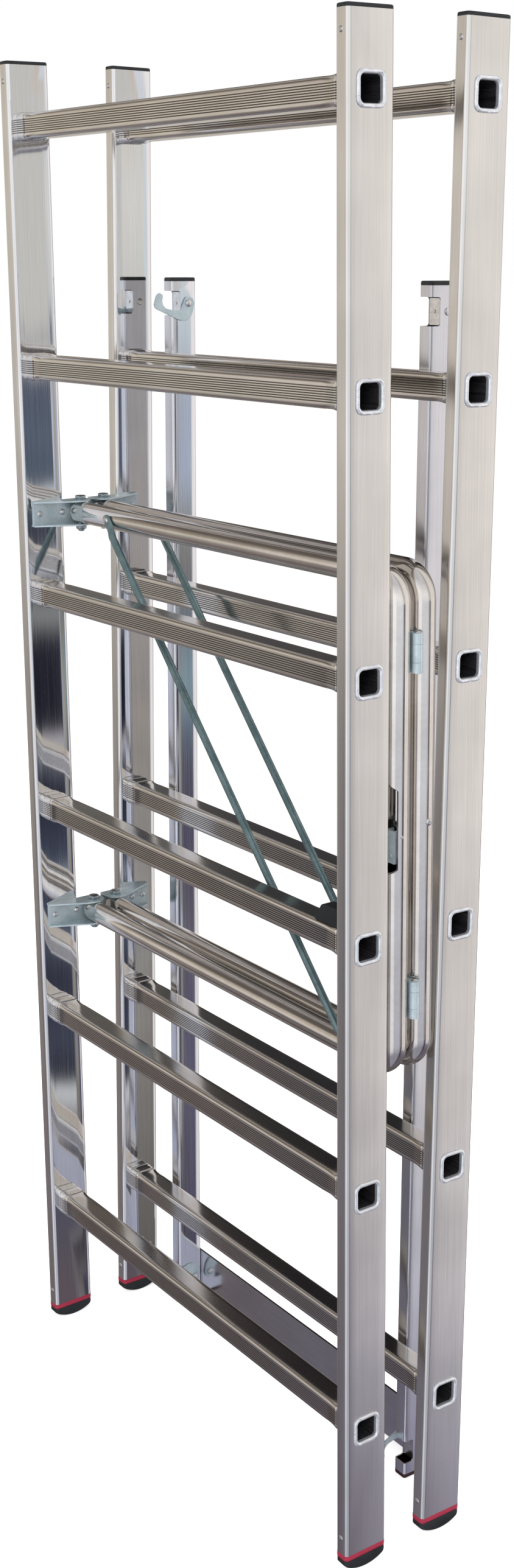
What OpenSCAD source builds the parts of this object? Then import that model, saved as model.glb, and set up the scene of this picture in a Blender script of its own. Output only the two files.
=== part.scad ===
// Folding ladder trestle, stored (folded) state: near ladder, far ladder,
// folding tube brace between them and a hook-on bridging frame behind.
// Origin: on the floor, midway between the stiles, under the middle of the stack.
// +X right, +Y away from the front, +Z up. Millimetres.

/* [Ladder frames] */
// Overall width over the outer stile faces
ladder_w = 668; // [660:1:810]
// Length of the aluminium stiles
stile_len = 1622; // [1600:1:1950]
// Width of the stile's narrow front face
stile_t = 19; // [17:0.5:24]
// Depth of the stile's wide face
stile_d = 56.5; // [50:0.5:56.5]
// Wall of the stile tube
stile_wall = 1.6; // [1.2:0.1:2]
// Centre distance of neighbouring rungs
rung_pitch = 280; // [270:1:286]
// Height of the lowest rung's centre over the floor
rung_first = 173.5; // [160:0.5:180]
// Outer size of the square rung tube
rung_s = 29; // [24:0.5:30]
// Wall of the rung tube
rung_wall = 1.7; // [1.4:0.1:2.2]
// Front face of the far ladder near the floor, behind the near ladder's
far_y = 110; // [110:0.5:134]
// Backward lean of the far ladder, degrees
far_lean = 1.25; // [1.05:0.05:1.4]

/* [Folding brace] */
// Outer diameter of the brace tubes
brace_d = 27; // [22:0.5:27]
// Wall of the brace tubes
brace_wall = 2; // [1.5:0.1:3]
// Height of the lower brace tube
brace_low = 587.5; // [568:0.5:592]
// Height of the upper brace tube
brace_high = 1113.5; // [1090:0.5:1125]
// X of the brace's outer vertical tubes
brace_x = 325; // [280:1:325]
// Centre line radius of the tube bends
bend_r = 28; // [26:1:45]
// Diameter of the diagonal rods
rod_d = 9; // [7:0.5:10]

/* [Bridging frame] */
// Overall width of the bridging frame
bridge_w = 510; // [420:1:520]
// Height of the bridging frame with its caps
bridge_h = 1397; // [1340:1:1500]
// Backward lean of the bridging frame, degrees
bridge_lean = 0.9; // [0.7:0.05:1.05]
// Narrow face of the bridging rails
rail_t = 19; // [16:0.5:24]
// Depth of the bridging rails
rail_d = 36; // [34:0.5:42]
// Height of the cross bar
bar_h = 66; // [50:1:80]

/* [Hidden] */
$fn = 48;
foot_h = 21.5;
cap_h = 4;
band_h = 6.5;
sole_r = 49;
corner_r = 5;
half_w = ladder_w / 2;
inner_x = half_w - stile_t;
stile_top = foot_h + stile_len;
mid_y = stile_d / 2;
rung_r = 6;
fit = 0.1;
flange_s = 35;
flange_t = 2.2;
bead_s = 33;
bead_t = 5;
flute_n = 8;
flute_w = 1.3;
flute_deep = 0.5;
rivet_r = 3.6;
// brace pivots: near bolt A, far bolt B, hinge pin H
pivot_x = -inner_x + 17;
near_py = 71;
far_py = 104;
hinge_x = brace_x + 12;
hinge_y = (near_py + far_py) / 2;
bolt_r = 4;
run_fit = 0.06;
lug_in = brace_d / 2 + 0.2;
sheet = 2;
bracket_len = 72;
bolt_v = 59;
hinge_up = 1036.5;
hinge_low = 664.5;
hinge_len = 41;
knuckle_r = 5.75;
knuckle_end = 11;
pin_r = 2.5;
leaf_t = 1.6;
slot_z = 853.5;
slot_len = 96;
slot_y = near_py - 6.5;
latch_z = 846.5;
latch_y = slot_y + 1.5;
latch_py = latch_y + 2.5;
rod_top_x = pivot_x + 88;
rod_low_x = brace_x - 53;
// bridging frame
bridge_x = -bridge_w / 2 - 14;
bridge_z = rail_d * sin(bridge_lean);
rung2_up = rung_first + 4 * rung_pitch - sole_r;
rung2_back = far_y + mid_y + rung_s / 2 * cos(far_lean) + rung2_up * sin(far_lean);
rung2_z = sole_r + rung2_up * cos(far_lean) - rung_s / 2 * sin(far_lean);
bridge_y = rung2_back + 0.5 - (rung2_z - bridge_z) * tan(bridge_lean);
rail_wall = 1.5;
rail_low = 6;
rail_high = bridge_h - 4.5;
notch_h = 29.6;
notch_deep = 13;
notch_low = 35;
notch_high = bridge_h - 31;
hook_v = 23;
hook_t = 2.5;
hook_drop = 90;
bar_low = 4;
// middle of the stored stack, front to back
stack_mid = (bridge_y + rail_d * cos(bridge_lean) + bridge_h * sin(bridge_lean)) / 2;

// ---------- shared profiles ----------
module round_rect(w, d, r) {
  square([w - 2 * r, d], center = true);
  square([w, d - 2 * r], center = true);
  for (sx = [-1, 1], sy = [-1, 1])
    translate([sx * (w / 2 - r), sy * (d / 2 - r)]) circle(r);
}

// Hollow rectangular tube standing on z = 0, centred on the axis
module box_tube(w, d, wall, r, h) {
  linear_extrude(h) difference() {
    round_rect(w, d, r);
    round_rect(w - 2 * wall, d - 2 * wall, r - wall);
  }
}

// Rung hole through a stile, along X
module rung_hole(z) {
  translate([0, 0, z]) rotate([90, 0, 90])
    linear_extrude(stile_t * 2, center = true)
      round_rect(rung_s + 2 * fit, rung_s + 2 * fit, rung_r + fit);
}

function rung_z(i) = rung_first + rung_pitch * (6 - i);

// ---------- ladder frame pieces (near position) ----------
module stile(side) {
  translate([side * (half_w - stile_t / 2), mid_y, 0]) difference() {
    translate([0, 0, foot_h]) box_tube(stile_t, stile_d, stile_wall, corner_r, stile_len);
    for (i = [1:6]) rung_hole(rung_z(i));
    for (z = [foot_h + 20, stile_top - 19])
      translate([0, -mid_y - 1, z]) rotate([-90, 0, 0]) cylinder(r = 2.1, h = 5);
  }
}

// Square rung tube, fluted front and back, flanged outside the stiles
module rung_section() {
  difference() {
    round_rect(rung_s, rung_s, rung_r);
    round_rect(rung_s - 2 * rung_wall, rung_s - 2 * rung_wall, rung_r - rung_wall);
    for (k = [0:flute_n - 1], s = [-1, 1])
      translate([s * rung_s / 2, (k - (flute_n - 1) / 2) * 2.3])
        square([2 * flute_deep, flute_w], center = true);
  }
}

module rung_ring(size, thick) {
  linear_extrude(thick) difference() {
    round_rect(size, size, rung_r + 2);
    round_rect(rung_s - 2 * rung_wall, rung_s - 2 * rung_wall, rung_r - rung_wall);
  }
}

module rung_plain_end(side) {
  bead_in = inner_x - bead_t;
  end_len = half_w - bead_in;
  x0 = side < 0 ? -half_w : bead_in;
  translate([x0, 0, 0]) rotate([90, 0, 90]) linear_extrude(end_len) difference() {
    round_rect(rung_s, rung_s, rung_r);
    round_rect(rung_s - 2 * rung_wall, rung_s - 2 * rung_wall, rung_r - rung_wall);
  }
}

module rung(i) {
  translate([0, mid_y, rung_z(i)]) {
    rotate([90, 0, 90]) linear_extrude(2 * (inner_x - bead_t), center = true) rung_section();
    for (s = [-1, 1]) rung_plain_end(s);
    translate([half_w, 0, 0]) rotate([90, 0, 90]) rung_ring(flange_s, flange_t);
    translate([-half_w - flange_t, 0, 0]) rotate([90, 0, 90]) rung_ring(flange_s, flange_t);
    translate([inner_x - bead_t, 0, 0]) rotate([90, 0, 90]) rung_ring(bead_s, bead_t);
    translate([-inner_x, 0, 0]) rotate([90, 0, 90]) rung_ring(bead_s, bead_t);
  }
}

module stile_plug(h) {
  w = stile_t - 2 * stile_wall - 2 * fit;
  d = stile_d - 2 * stile_wall - 2 * fit;
  linear_extrude(h) difference() {
    round_rect(w, d, corner_r - stile_wall);
    round_rect(w - 4, d - 4, 1);
  }
}

// Both pieces of a pair, one under each stile
module at_stiles() {
  for (s = [-1, 1]) translate([s * (half_w - stile_t / 2), mid_y, 0]) children();
}

module top_caps() {
  at_stiles() {
    translate([0, 0, stile_top]) linear_extrude(cap_h) round_rect(stile_t, stile_d, corner_r);
    translate([0, 0, stile_top - 10]) stile_plug(10);
  }
}

module foot_bands() {
  at_stiles() {
    translate([0, 0, foot_h - band_h]) linear_extrude(band_h)
      round_rect(stile_t + 0.6, stile_d + 0.6, corner_r);
    translate([0, 0, foot_h]) stile_plug(12);
  }
}

// Sole rounded from front to back
module soles() {
  at_stiles() intersection() {
    linear_extrude(foot_h - band_h) round_rect(stile_t, stile_d, corner_r);
    translate([0, 0, sole_r]) rotate([0, 90, 0]) cylinder(r = sole_r, h = 40, center = true, $fn = 96);
  }
}

module end_rivets() {
  at_stiles() for (z = [foot_h + 20, stile_top - 19])
    translate([0, -mid_y, z]) rotate([-90, 0, 0]) {
      translate([0, 0, -1]) cylinder(r = 3, h = 1);
      cylinder(r = 2, h = 3);
    }
}

// ---------- brackets, bolts and nuts ----------
// Flange outline: u outward from the stile's inner face, v along the bracket
module flange_plan() {
  polygon([[0, 0], [4, 0], [27, 46], [29.6, 56], [30, bolt_v], [17, bracket_len], [0, bracket_len]]);
  translate([17, bolt_v]) circle(13);
}

// U-channel bracket centred on height z, front end at v = 0; local frame u, v, z
module bracket_shape() {
  difference() {
    union() {
      translate([0, 0, -lug_in - sheet]) cube([sheet, bracket_len, 2 * (lug_in + sheet)]);
      translate([0, 0, lug_in]) linear_extrude(sheet) flange_plan();
      translate([0, 0, -lug_in - sheet]) linear_extrude(sheet) flange_plan();
    }
    translate([17, bolt_v, 0]) cylinder(r = bolt_r + run_fit, h = 60, center = true);
  }
}

module rivet_holes(vs) {
  for (v = vs) translate([-1, v, 0]) rotate([0, 90, 0]) cylinder(r = 2.5, h = 5);
}

// Round-head rivet, shank through the bracket web only
module rivet_head() {
  rotate([0, 90, 0]) {
    cylinder(r = 2.4, h = sheet);
    translate([0, 0, sheet]) cylinder(r1 = rivet_r, r2 = rivet_r - 0.4, h = 0.8);
    translate([0, 0, sheet + 0.8]) cylinder(r1 = rivet_r - 0.4, r2 = 1.8, h = 1.2);
  }
}

near_vs = [9, 41];
far_vs = [8, 24];
module at_near(z) { translate([-inner_x, 12, z]) children(); }
module at_far(z) { translate([-inner_x, far_py + bolt_v, z]) mirror([0, 1, 0]) children(); }
module near_bracket(z) { at_near(z) difference() { bracket_shape(); rivet_holes(near_vs); } }
module far_bracket(z) { at_far(z) difference() { bracket_shape(); rivet_holes(far_vs); } }
module near_bracket_rivets() {
  for (z = [brace_low, brace_high], v = near_vs) at_near(z) translate([0, v, 0]) rivet_head();
}
module far_bracket_rivets() {
  for (z = [brace_low, brace_high], v = far_vs) at_far(z) translate([0, v, 0]) rivet_head();
}

module pivot_bolt(y) {
  for (z = [brace_low, brace_high]) translate([pivot_x, y, z]) {
    translate([0, 0, lug_in + sheet]) cylinder(r = 7.5, h = 5.3, $fn = 6);
    translate([0, 0, -lug_in - sheet - 8]) cylinder(r = bolt_r, h = 2 * (lug_in + sheet) + 8);
  }
}
module pivot_nut(y) {
  for (z = [brace_low, brace_high]) translate([pivot_x, y, z - lug_in - sheet - 6.5])
    difference() {
      cylinder(r = 7.5, h = 6.5, $fn = 6);
      translate([0, 0, -1]) cylinder(r = bolt_r, h = 9);
    }
}

// ---------- brace frames ----------
// Quarter bend of a rod of radius r, from +Z travel into -X travel, about Y
module bend(r) {
  rotate([90, 0, 0]) rotate_extrude(angle = 90) translate([bend_r, 0]) circle(r);
}

// C-shaped path solid of radius r in the X-Z plane at depth y, ends over-run by e
module brace_path(y, r, e) {
  straight = brace_x - bend_r - pivot_x;
  translate([0, y, 0]) {
    for (z = [brace_low, brace_high])
      translate([pivot_x - e, 0, z]) rotate([0, 90, 0]) cylinder(r = r, h = straight + e);
    translate([brace_x, 0, brace_low + bend_r]) cylinder(r = r, h = brace_high - brace_low - 2 * bend_r);
    translate([brace_x - bend_r, 0, brace_high - bend_r]) bend(r);
    translate([brace_x - bend_r, 0, brace_low + bend_r]) mirror([0, 0, 1]) bend(r);
  }
}

// Tube frame with closed, flattened, domed ends bored for the bolts
module brace_frame(y) {
  difference() {
    union() {
      brace_path(y, brace_d / 2, 0);
      for (z = [brace_low, brace_high]) translate([pivot_x, y, z]) sphere(brace_d / 2, $fn = 64);
    }
    intersection() {
      brace_path(y, brace_d / 2 - brace_wall, 0);
      translate([pivot_x + 30, y - 40, 0]) cube([900, 80, 1500]);
    }
    for (z = [brace_low, brace_high]) translate([pivot_x, y, z]) {
      cylinder(r = bolt_r + run_fit, h = 60, center = true);
      for (s = [-1, 1]) translate([-20, s * (brace_d / 2 + 1) - 5, -20]) cube([45, 10, 40]);
    }
    for (x = [rod_top_x, rod_low_x]) rod_rivet_hole(x, y);
  }
}

module rod_rivet_hole(x, y) {
  z = x == rod_top_x ? brace_high : brace_low;
  translate([x, y, z]) rotate([90, 0, 0]) cylinder(r = 2.6, h = 60, center = true);
}

// Opening for the latch in the front of the near tube, ends cut at a slant
module latch_slot() {
  front = near_py - brace_d;
  z0 = slot_z - slot_len / 2;
  translate([brace_x, 0, 0]) rotate([90, 0, 90]) linear_extrude(40, center = true)
    polygon([[front, z0 - 12], [slot_y, z0 + 6], [slot_y, z0 + slot_len - 6], [front, z0 + slot_len + 12]]);
}

module near_brace_tube() {
  difference() {
    brace_frame(near_py);
    latch_slot();
    translate([brace_x, latch_py, latch_z]) rotate([0, 90, 0])
      cylinder(r = 2, h = 60, center = true);
  }
}

module far_brace_tube() {
  difference() {
    brace_frame(far_py);
    translate([brace_x + 6, far_py, latch_z + 10]) rotate([0, 90, 0]) cylinder(r = 2.1, h = 20);
  }
}

// Diagonal rod with flattened ends against the tube; s = -1 in front, +1 behind
module brace_rod(y, s) {
  yc = y + s * (brace_d / 2 + rod_d / 2);
  dx = rod_low_x - rod_top_x;
  dz = brace_low - brace_high;
  len = sqrt(dx * dx + dz * dz);
  flat_y = s > 0 ? y + brace_d / 2 : y - brace_d / 2 - 3;
  tilt = atan2(dx, dz);
  difference() {
    union() {
      translate([rod_top_x, yc, brace_high]) rotate([0, tilt, 0])
        translate([0, 0, 12]) cylinder(r = rod_d / 2, h = len - 24);
      for (e = [0, 1]) translate([rod_top_x + e * dx, flat_y, brace_high + e * dz])
        rotate([0, tilt + 180 * e, 0]) rotate([-90, 0, 0]) linear_extrude(3) {
          circle(7);
          translate([-5.5, -20]) square([11, 20]);
        }
    }
    for (x = [rod_top_x, rod_low_x]) rod_rivet_hole(x, y);
  }
}

module rod_rivets(y, s) {
  for (x = [rod_top_x, rod_low_x]) {
    z = x == rod_top_x ? brace_high : brace_low;
    translate([x, y + s * brace_d / 2, z]) rotate([s > 0 ? -90 : 90, 0, 0]) {
      translate([0, 0, -5]) cylinder(r = 2.5, h = 8);
      translate([0, 0, 3]) cylinder(r1 = 4.5, r2 = 3, h = 1.8);
    }
  }
}

// ---------- butt hinges between the brace tubes ----------
module knuckle(z0, h) {
  translate([hinge_x, hinge_y, z0]) cylinder(r = knuckle_r, h = h);
}

// Leaf of one hinge against its tube; s = -1 near tube, +1 far tube
module leaf(zc, s, outer) {
  y = s < 0 ? near_py : far_py;
  face = s < 0 ? hinge_y - 0.15 - leaf_t : hinge_y + 0.15;
  pad_t = hinge_y - 0.15 - near_py - brace_d / 2 + 1.2;
  z0 = zc - hinge_len / 2;
  mid_h = hinge_len - 2 * knuckle_end;
  difference() {
    union() {
      translate([brace_x - 9, face, z0]) cube([hinge_x - brace_x + 9, leaf_t, hinge_len]);
      translate([brace_x - 5, s < 0 ? face + leaf_t - pad_t : face, z0 + 1])
        cube([10, pad_t, hinge_len - 2]);
      if (outer) {
        knuckle(z0, knuckle_end);
        knuckle(z0 + hinge_len - knuckle_end, knuckle_end);
      } else {
        knuckle(z0 + knuckle_end + 0.15, mid_h - 0.3);
      }
    }
    translate([brace_x, y, z0 - 5]) cylinder(r = brace_d / 2, h = hinge_len + 10);
    translate([hinge_x, hinge_y, z0 - 1])
      cylinder(r = outer ? pin_r : pin_r + run_fit, h = hinge_len + 2);
    if (outer) {
      translate([hinge_x, hinge_y, z0 + knuckle_end]) cylinder(r = knuckle_r + 0.4, h = mid_h);
    } else {
      for (z = [z0 - 1, z0 + hinge_len - knuckle_end])
        translate([hinge_x, hinge_y, z]) cylinder(r = knuckle_r + 0.4, h = knuckle_end + 1);
    }
  }
}

module hinge_leaves(s, outer) {
  for (z = [hinge_low, hinge_up]) leaf(z, s, outer);
}
module hinge_pin_pair() {
  for (z = [hinge_low, hinge_up]) translate([hinge_x, hinge_y, z - hinge_len / 2]) {
    cylinder(r = pin_r, h = hinge_len);
    for (e = [-1.2, hinge_len]) translate([0, 0, e]) cylinder(r = pin_r + 0.8, h = 1.2);
  }
}

// ---------- latch ----------
module latch() {
  difference() {
    union() {
      translate([brace_x - 7, latch_y - 2.5, latch_z - 30]) cube([14, 3, 35]);
      for (s = [-1, 1]) translate([brace_x + s * 6 - 1, latch_y, latch_z - 8]) cube([2, 7, 13]);
      translate([brace_x, latch_y - 2.5, latch_z - 22]) rotate([90, 0, 0]) cylinder(r = 2.8, h = 1.4);
    }
    translate([brace_x, latch_py, latch_z]) rotate([0, 90, 0])
      cylinder(r = 2 + run_fit, h = 60, center = true);
  }
}
module latch_pin() {
  translate([brace_x, latch_py, latch_z]) rotate([0, 90, 0]) cylinder(r = 2, h = 25, center = true);
}
module far_latch_rivet() {
  translate([brace_x + 8, far_py, latch_z + 10]) rotate([0, 90, 0]) {
    cylinder(r = 2, h = brace_d / 2 - 8);
    translate([0, 0, brace_d / 2 - 8]) cylinder(r1 = 4, r2 = 2.6, h = 1.8);
  }
}

// Plastic rest for the folded brace, seated on the near ladder's fourth rung
module brace_rest_clip() {
  x0 = inner_x - 54;
  top = rung_z(4) + rung_s / 2;
  front = mid_y - rung_s / 2 + 0.6;
  translate([x0, front + 14, top]) rotate([90, 0, 0]) linear_extrude(14) hull() {
    square([46, 0.5]);
    translate([17, 13]) circle(8);
    translate([38, 13]) circle(8);
  }
  translate([x0 + 4, front + 13.9, top]) cube([42, rung_s - 14.5, 2]);
  translate([x0 + 4, mid_y + rung_s / 2, top - 12]) cube([42, 3, 14]);
}

// ---------- far ladder placing ----------
module far_side() {
  translate([0, far_y + mid_y, sole_r]) rotate([-far_lean, 0, 0]) translate([0, -mid_y, -sole_r]) children();
}

// ---------- bridging frame, local frame: left front foot at the origin ----------
module bridge_side() {
  translate([bridge_x, bridge_y, bridge_z]) rotate([-bridge_lean, 0, 0]) children();
}

module notch(z) {
  translate([-1, -1, z - notch_h / 2 + 3]) cube([rail_t + 2, notch_deep + 1, notch_h - 6]);
  translate([-1, -1, z - notch_h / 2]) cube([rail_t + 2, notch_deep - 2, notch_h]);
  for (s = [-1, 1]) translate([-1, notch_deep - 3, z + s * (notch_h / 2 - 3)]) rotate([0, 90, 0])
    cylinder(r = 3, h = rail_t + 2);
}

module rail(x) {
  difference() {
    translate([x + rail_t / 2, rail_d / 2, rail_low])
      box_tube(rail_t, rail_d, rail_wall, 3.5, rail_high - rail_low);
    for (z = [notch_low, notch_high]) translate([x, 0, 0]) {
      notch(z);
      translate([-1, hook_v, z]) rotate([0, 90, 0]) cylinder(r = 2.6, h = rail_t + 2);
    }
  }
}

// Bright sheet lining of each notch
module notch_liner(x, z) {
  w = rail_t - 2 * rail_wall - 0.6;
  translate([x + rail_wall + 0.3, notch_deep + 0.1, z - notch_h / 2 + 1]) {
    difference() {
      cube([w, 1.4, notch_h - 2]);
      translate([w / 2, -1, notch_h / 2 - 1]) rotate([-90, 0, 0]) cylinder(r = 1.6, h = 4);
    }
    translate([w / 2, -0.8, notch_h / 2 - 1]) rotate([-90, 0, 0]) cylinder(r = 1.5, h = 2.4);
  }
}

module bridge_cap(x, z, h, plug) {
  translate([x + rail_t / 2, rail_d / 2, z]) linear_extrude(h) round_rect(rail_t, rail_d, 3.5);
  translate([x + rail_t / 2, rail_d / 2, z + plug]) linear_extrude(8)
    round_rect(rail_t - 2 * rail_wall - 2 * fit, rail_d - 2 * rail_wall - 2 * fit, 1.8);
}

module bridge_top_caps() {
  both_rails() bridge_cap(0, rail_high, 4.5, -8);
}
module bridge_low_caps() {
  both_rails() bridge_cap(0, 0, rail_low, rail_low);
}

module both_rails() {
  for (x = [0, bridge_w - rail_t]) translate([x, 0, 0]) children();
}

// Sheet bar behind the rails, with a return along its lower edge
module cross_bar() {
  difference() {
    translate([0, rail_d, bar_low]) rotate([90, 0, 90]) linear_extrude(bridge_w)
      polygon([[0, 0], [0, bar_h], [3, bar_h], [3, 3], [12, 3], [12, 0]]);
    for (z = [bar_low + 36, bar_low + 56]) both_rails()
      translate([rail_t / 2, rail_d - 1, z]) rotate([-90, 0, 0]) cylinder(r = 2.1, h = 8);
  }
}
module bar_rivets() {
  for (z = [bar_low + 36, bar_low + 56]) both_rails()
    translate([rail_t / 2, rail_d, z]) rotate([-90, 0, 0]) {
      cylinder(r = 2, h = 3);
      translate([0, 0, 3]) cylinder(r1 = 4, r2 = 2.6, h = 1.8);
    }
}

// Hook outline in the Y-Z plane about its pivot, tip forward, locked round a rung
module hook_plan() {
  polygon([
    [-41, 12.5], [-44.5, 11.5], [-47, 8], [-49.8, -1], [-48.6, -5], [-45.6, -7],
    [-28.3, -14.3], [-17, -19], [-9.2, -21.2], [-3, -21], [1, -19.3], [4.5, -15],
    [6.8, -10], [8.6, 0], [6.6, 5.6], [2.5, 8], [-2.5, 7.6], [-5.6, 4],
    [-9, -4], [-12, -9.4], [-24, -8], [-33, -6], [-37, -2], [-38.3, 3], [-37, 9.5]
  ]);
}

// side 0 left rail, 1 right rail; up 1 top hooks, -1 bottom hooks; drop turns the tip down
module hook(side, up, drop = 0) {
  x = side == 0 ? rail_t + 0.3 : bridge_w - rail_t - 0.3 - hook_t;
  z = up > 0 ? notch_high : notch_low;
  translate([x, hook_v, z]) rotate([drop, 0, 0]) difference() {
    rotate([90, 0, 90]) linear_extrude(hook_t) mirror([0, up > 0 ? 0 : 1]) hook_plan();
    translate([-1, 0, 0]) rotate([0, 90, 0]) cylinder(r = 2.5 + run_fit, h = hook_t + 2);
  }
}

module hook_rivets() {
  for (z = [notch_low, notch_high], side = [0, 1]) {
    x = side == 0 ? 0 : bridge_w;
    translate([x, hook_v, z]) mirror([side, 0, 0]) rotate([0, 90, 0]) {
      cylinder(r = 2.5, h = rail_t + 0.3 + hook_t + 0.3);
      translate([0, 0, rail_t + hook_t + 0.6]) cylinder(r1 = 4.4, r2 = 2.8, h = 2);
      translate([0, 0, -1.4]) cylinder(r1 = 2.8, r2 = 4.2, h = 1.4);
    }
  }
}

// ---------- nodes ----------
// Origin on the floor under the middle of the stored stack
module placed() {
  translate([0, -stack_mid, 0]) children();
}

module near_left_stile() { color("silver") stile(-1); }
module near_right_stile() { color("silver") stile(1); }
module bridge_right_rail() { color("silver") bridge_side() rail(bridge_w - rail_t); }
module near_rung(i) { color("silver") rung(i); }
module far_rung(i) { color("silver") far_side() rung(i); }

placed() near_left_stile();
placed() near_right_stile();
placed() near_rung(1);  // near_rung_1
placed() near_rung(2);  // near_rung_2
placed() near_rung(3);  // near_rung_3
placed() near_rung(4);  // near_rung_4
placed() near_rung(5);  // near_rung_5
placed() near_rung(6);  // near_rung_6
placed() color("black") top_caps();  // near_top_caps
placed() color("crimson") foot_bands();  // near_foot_bands
placed() color("black") soles();  // near_soles
placed() color("gainsboro") end_rivets();  // near_end_rivets
placed() color("lightsteelblue") near_bracket(brace_high);  // near_upper_bracket
placed() color("lightsteelblue") near_bracket(brace_low);  // near_lower_bracket
placed() color("gainsboro") near_bracket_rivets();
placed() color("slategray") pivot_bolt(near_py);  // near_pivot_bolts
placed() color("slategray") pivot_nut(near_py);  // near_pivot_nuts
placed() color("black") brace_rest_clip();
placed() color("silver") far_side() stile(-1);  // far_left_stile
placed() color("silver") far_side() stile(1);  // far_right_stile
placed() far_rung(1);  // far_rung_1
placed() far_rung(2);  // far_rung_2
placed() far_rung(3);  // far_rung_3
placed() far_rung(4);  // far_rung_4
placed() far_rung(5);  // far_rung_5
placed() far_rung(6);  // far_rung_6
placed() color("black") far_side() top_caps();  // far_top_caps
placed() color("crimson") far_side() foot_bands();  // far_foot_bands
placed() color("black") far_side() soles();  // far_soles
placed() color("gainsboro") far_side() end_rivets();  // far_end_rivets
placed() color("lightsteelblue") far_bracket(brace_high);  // far_upper_bracket
placed() color("lightsteelblue") far_bracket(brace_low);  // far_lower_bracket
placed() color("gainsboro") far_bracket_rivets();
placed() color("slategray") pivot_bolt(far_py);  // far_pivot_bolts
placed() color("slategray") pivot_nut(far_py);  // far_pivot_nuts
placed() color("lightgray") near_brace_tube();
placed() color("cadetblue") brace_rod(near_py, -1);  // near_brace_rod
placed() color("gainsboro") rod_rivets(near_py, -1);  // near_rod_rivets
placed() color("lightsteelblue") hinge_leaves(-1, true);  // near_hinge_leaves
placed() color("slategray") hinge_pin_pair();  // hinge_pins
placed() color("slategray") latch();  // brace_latch
placed() color("gainsboro") latch_pin();
placed() color("lightgray") far_brace_tube();
placed() color("cadetblue") brace_rod(far_py, 1);  // far_brace_rod
placed() color("gainsboro") rod_rivets(far_py, 1);  // far_rod_rivets
placed() color("lightsteelblue") hinge_leaves(1, false);  // far_hinge_leaves
placed() color("gainsboro") far_latch_rivet();
placed() color("silver") bridge_side() rail(0);  // bridge_left_rail
placed() bridge_right_rail();
placed() color("silver") bridge_side() cross_bar();  // bridge_cross_bar
placed() color("black") bridge_side() bridge_top_caps();
placed() color("maroon") bridge_side() bridge_low_caps();
placed() color("gainsboro") bridge_side() bar_rivets();  // bridge_bar_rivets
placed() color("gainsboro") bridge_side()  // notch_liners
  for (x = [0, bridge_w - rail_t], z = [notch_low, notch_high]) notch_liner(x, z);
placed() color("gainsboro") bridge_side() hook_rivets();
placed() color("lightsteelblue") bridge_side() hook(0, 1);  // hook_top_left
placed() color("lightsteelblue") bridge_side() hook(1, 1, hook_drop);  // hook_top_right
placed() color("lightsteelblue") bridge_side() hook(0, -1);  // hook_low_left
placed() color("lightsteelblue") bridge_side() hook(1, -1);  // hook_low_right
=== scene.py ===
"""Folding ladder trestle, stored flat: its looks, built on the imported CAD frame.

Lengths are in millimetres inside the classes and in metres in every mesh. X runs
along the rungs, Y runs from the near ladder back through the stack, Z is up.
"""
import logging
import math
from dataclasses import dataclass, field
from enum import Enum

import bmesh
import bpy
import numpy as np
from mathutils import Matrix, Vector


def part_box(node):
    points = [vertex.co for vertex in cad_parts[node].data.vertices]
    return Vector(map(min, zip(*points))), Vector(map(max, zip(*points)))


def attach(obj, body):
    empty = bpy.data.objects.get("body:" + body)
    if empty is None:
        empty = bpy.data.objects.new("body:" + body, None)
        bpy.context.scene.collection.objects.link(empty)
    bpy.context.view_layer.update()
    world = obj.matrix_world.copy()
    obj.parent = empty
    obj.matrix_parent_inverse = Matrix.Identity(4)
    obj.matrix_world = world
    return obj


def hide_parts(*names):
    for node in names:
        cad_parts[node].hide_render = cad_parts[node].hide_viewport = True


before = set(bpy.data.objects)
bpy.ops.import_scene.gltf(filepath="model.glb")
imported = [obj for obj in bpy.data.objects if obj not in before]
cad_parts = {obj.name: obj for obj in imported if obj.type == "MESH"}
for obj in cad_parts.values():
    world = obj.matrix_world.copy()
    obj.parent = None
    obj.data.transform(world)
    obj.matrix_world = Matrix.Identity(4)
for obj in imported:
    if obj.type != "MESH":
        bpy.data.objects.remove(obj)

LOG = logging.getLogger("trestle")
MM = 0.001
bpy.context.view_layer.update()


class Side(Enum):
    """Left or right, as the sign of X."""

    LEFT = -1
    RIGHT = 1


# ---------------------------------------------------------------- shapes


@dataclass
class Shell:
    """A closed surface: its points in millimetres and its four- and three-cornered faces."""

    points: np.ndarray
    quads: np.ndarray
    tris: np.ndarray = field(default_factory=lambda: np.zeros((0, 3), int))

    def outward(self) -> "Shell":
        """Turn the faces so that they point outwards.

        The signed volume is the sum of a . (b x c) / 6 over the triangles, and is
        positive when the faces point outwards.

        Returns:
            This shell, with its faces turned if they pointed inwards.
        """
        tri = np.vstack([self.tris, self.quads[:, [0, 1, 2]], self.quads[:, [0, 2, 3]]])
        a, b, c = (self.points[tri[:, k]] for k in range(3))
        if np.einsum("ij,ij->i", a, np.cross(b, c)).sum() < 0:
            self.quads, self.tris = self.quads[:, ::-1], self.tris[:, ::-1]
        return self


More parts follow.
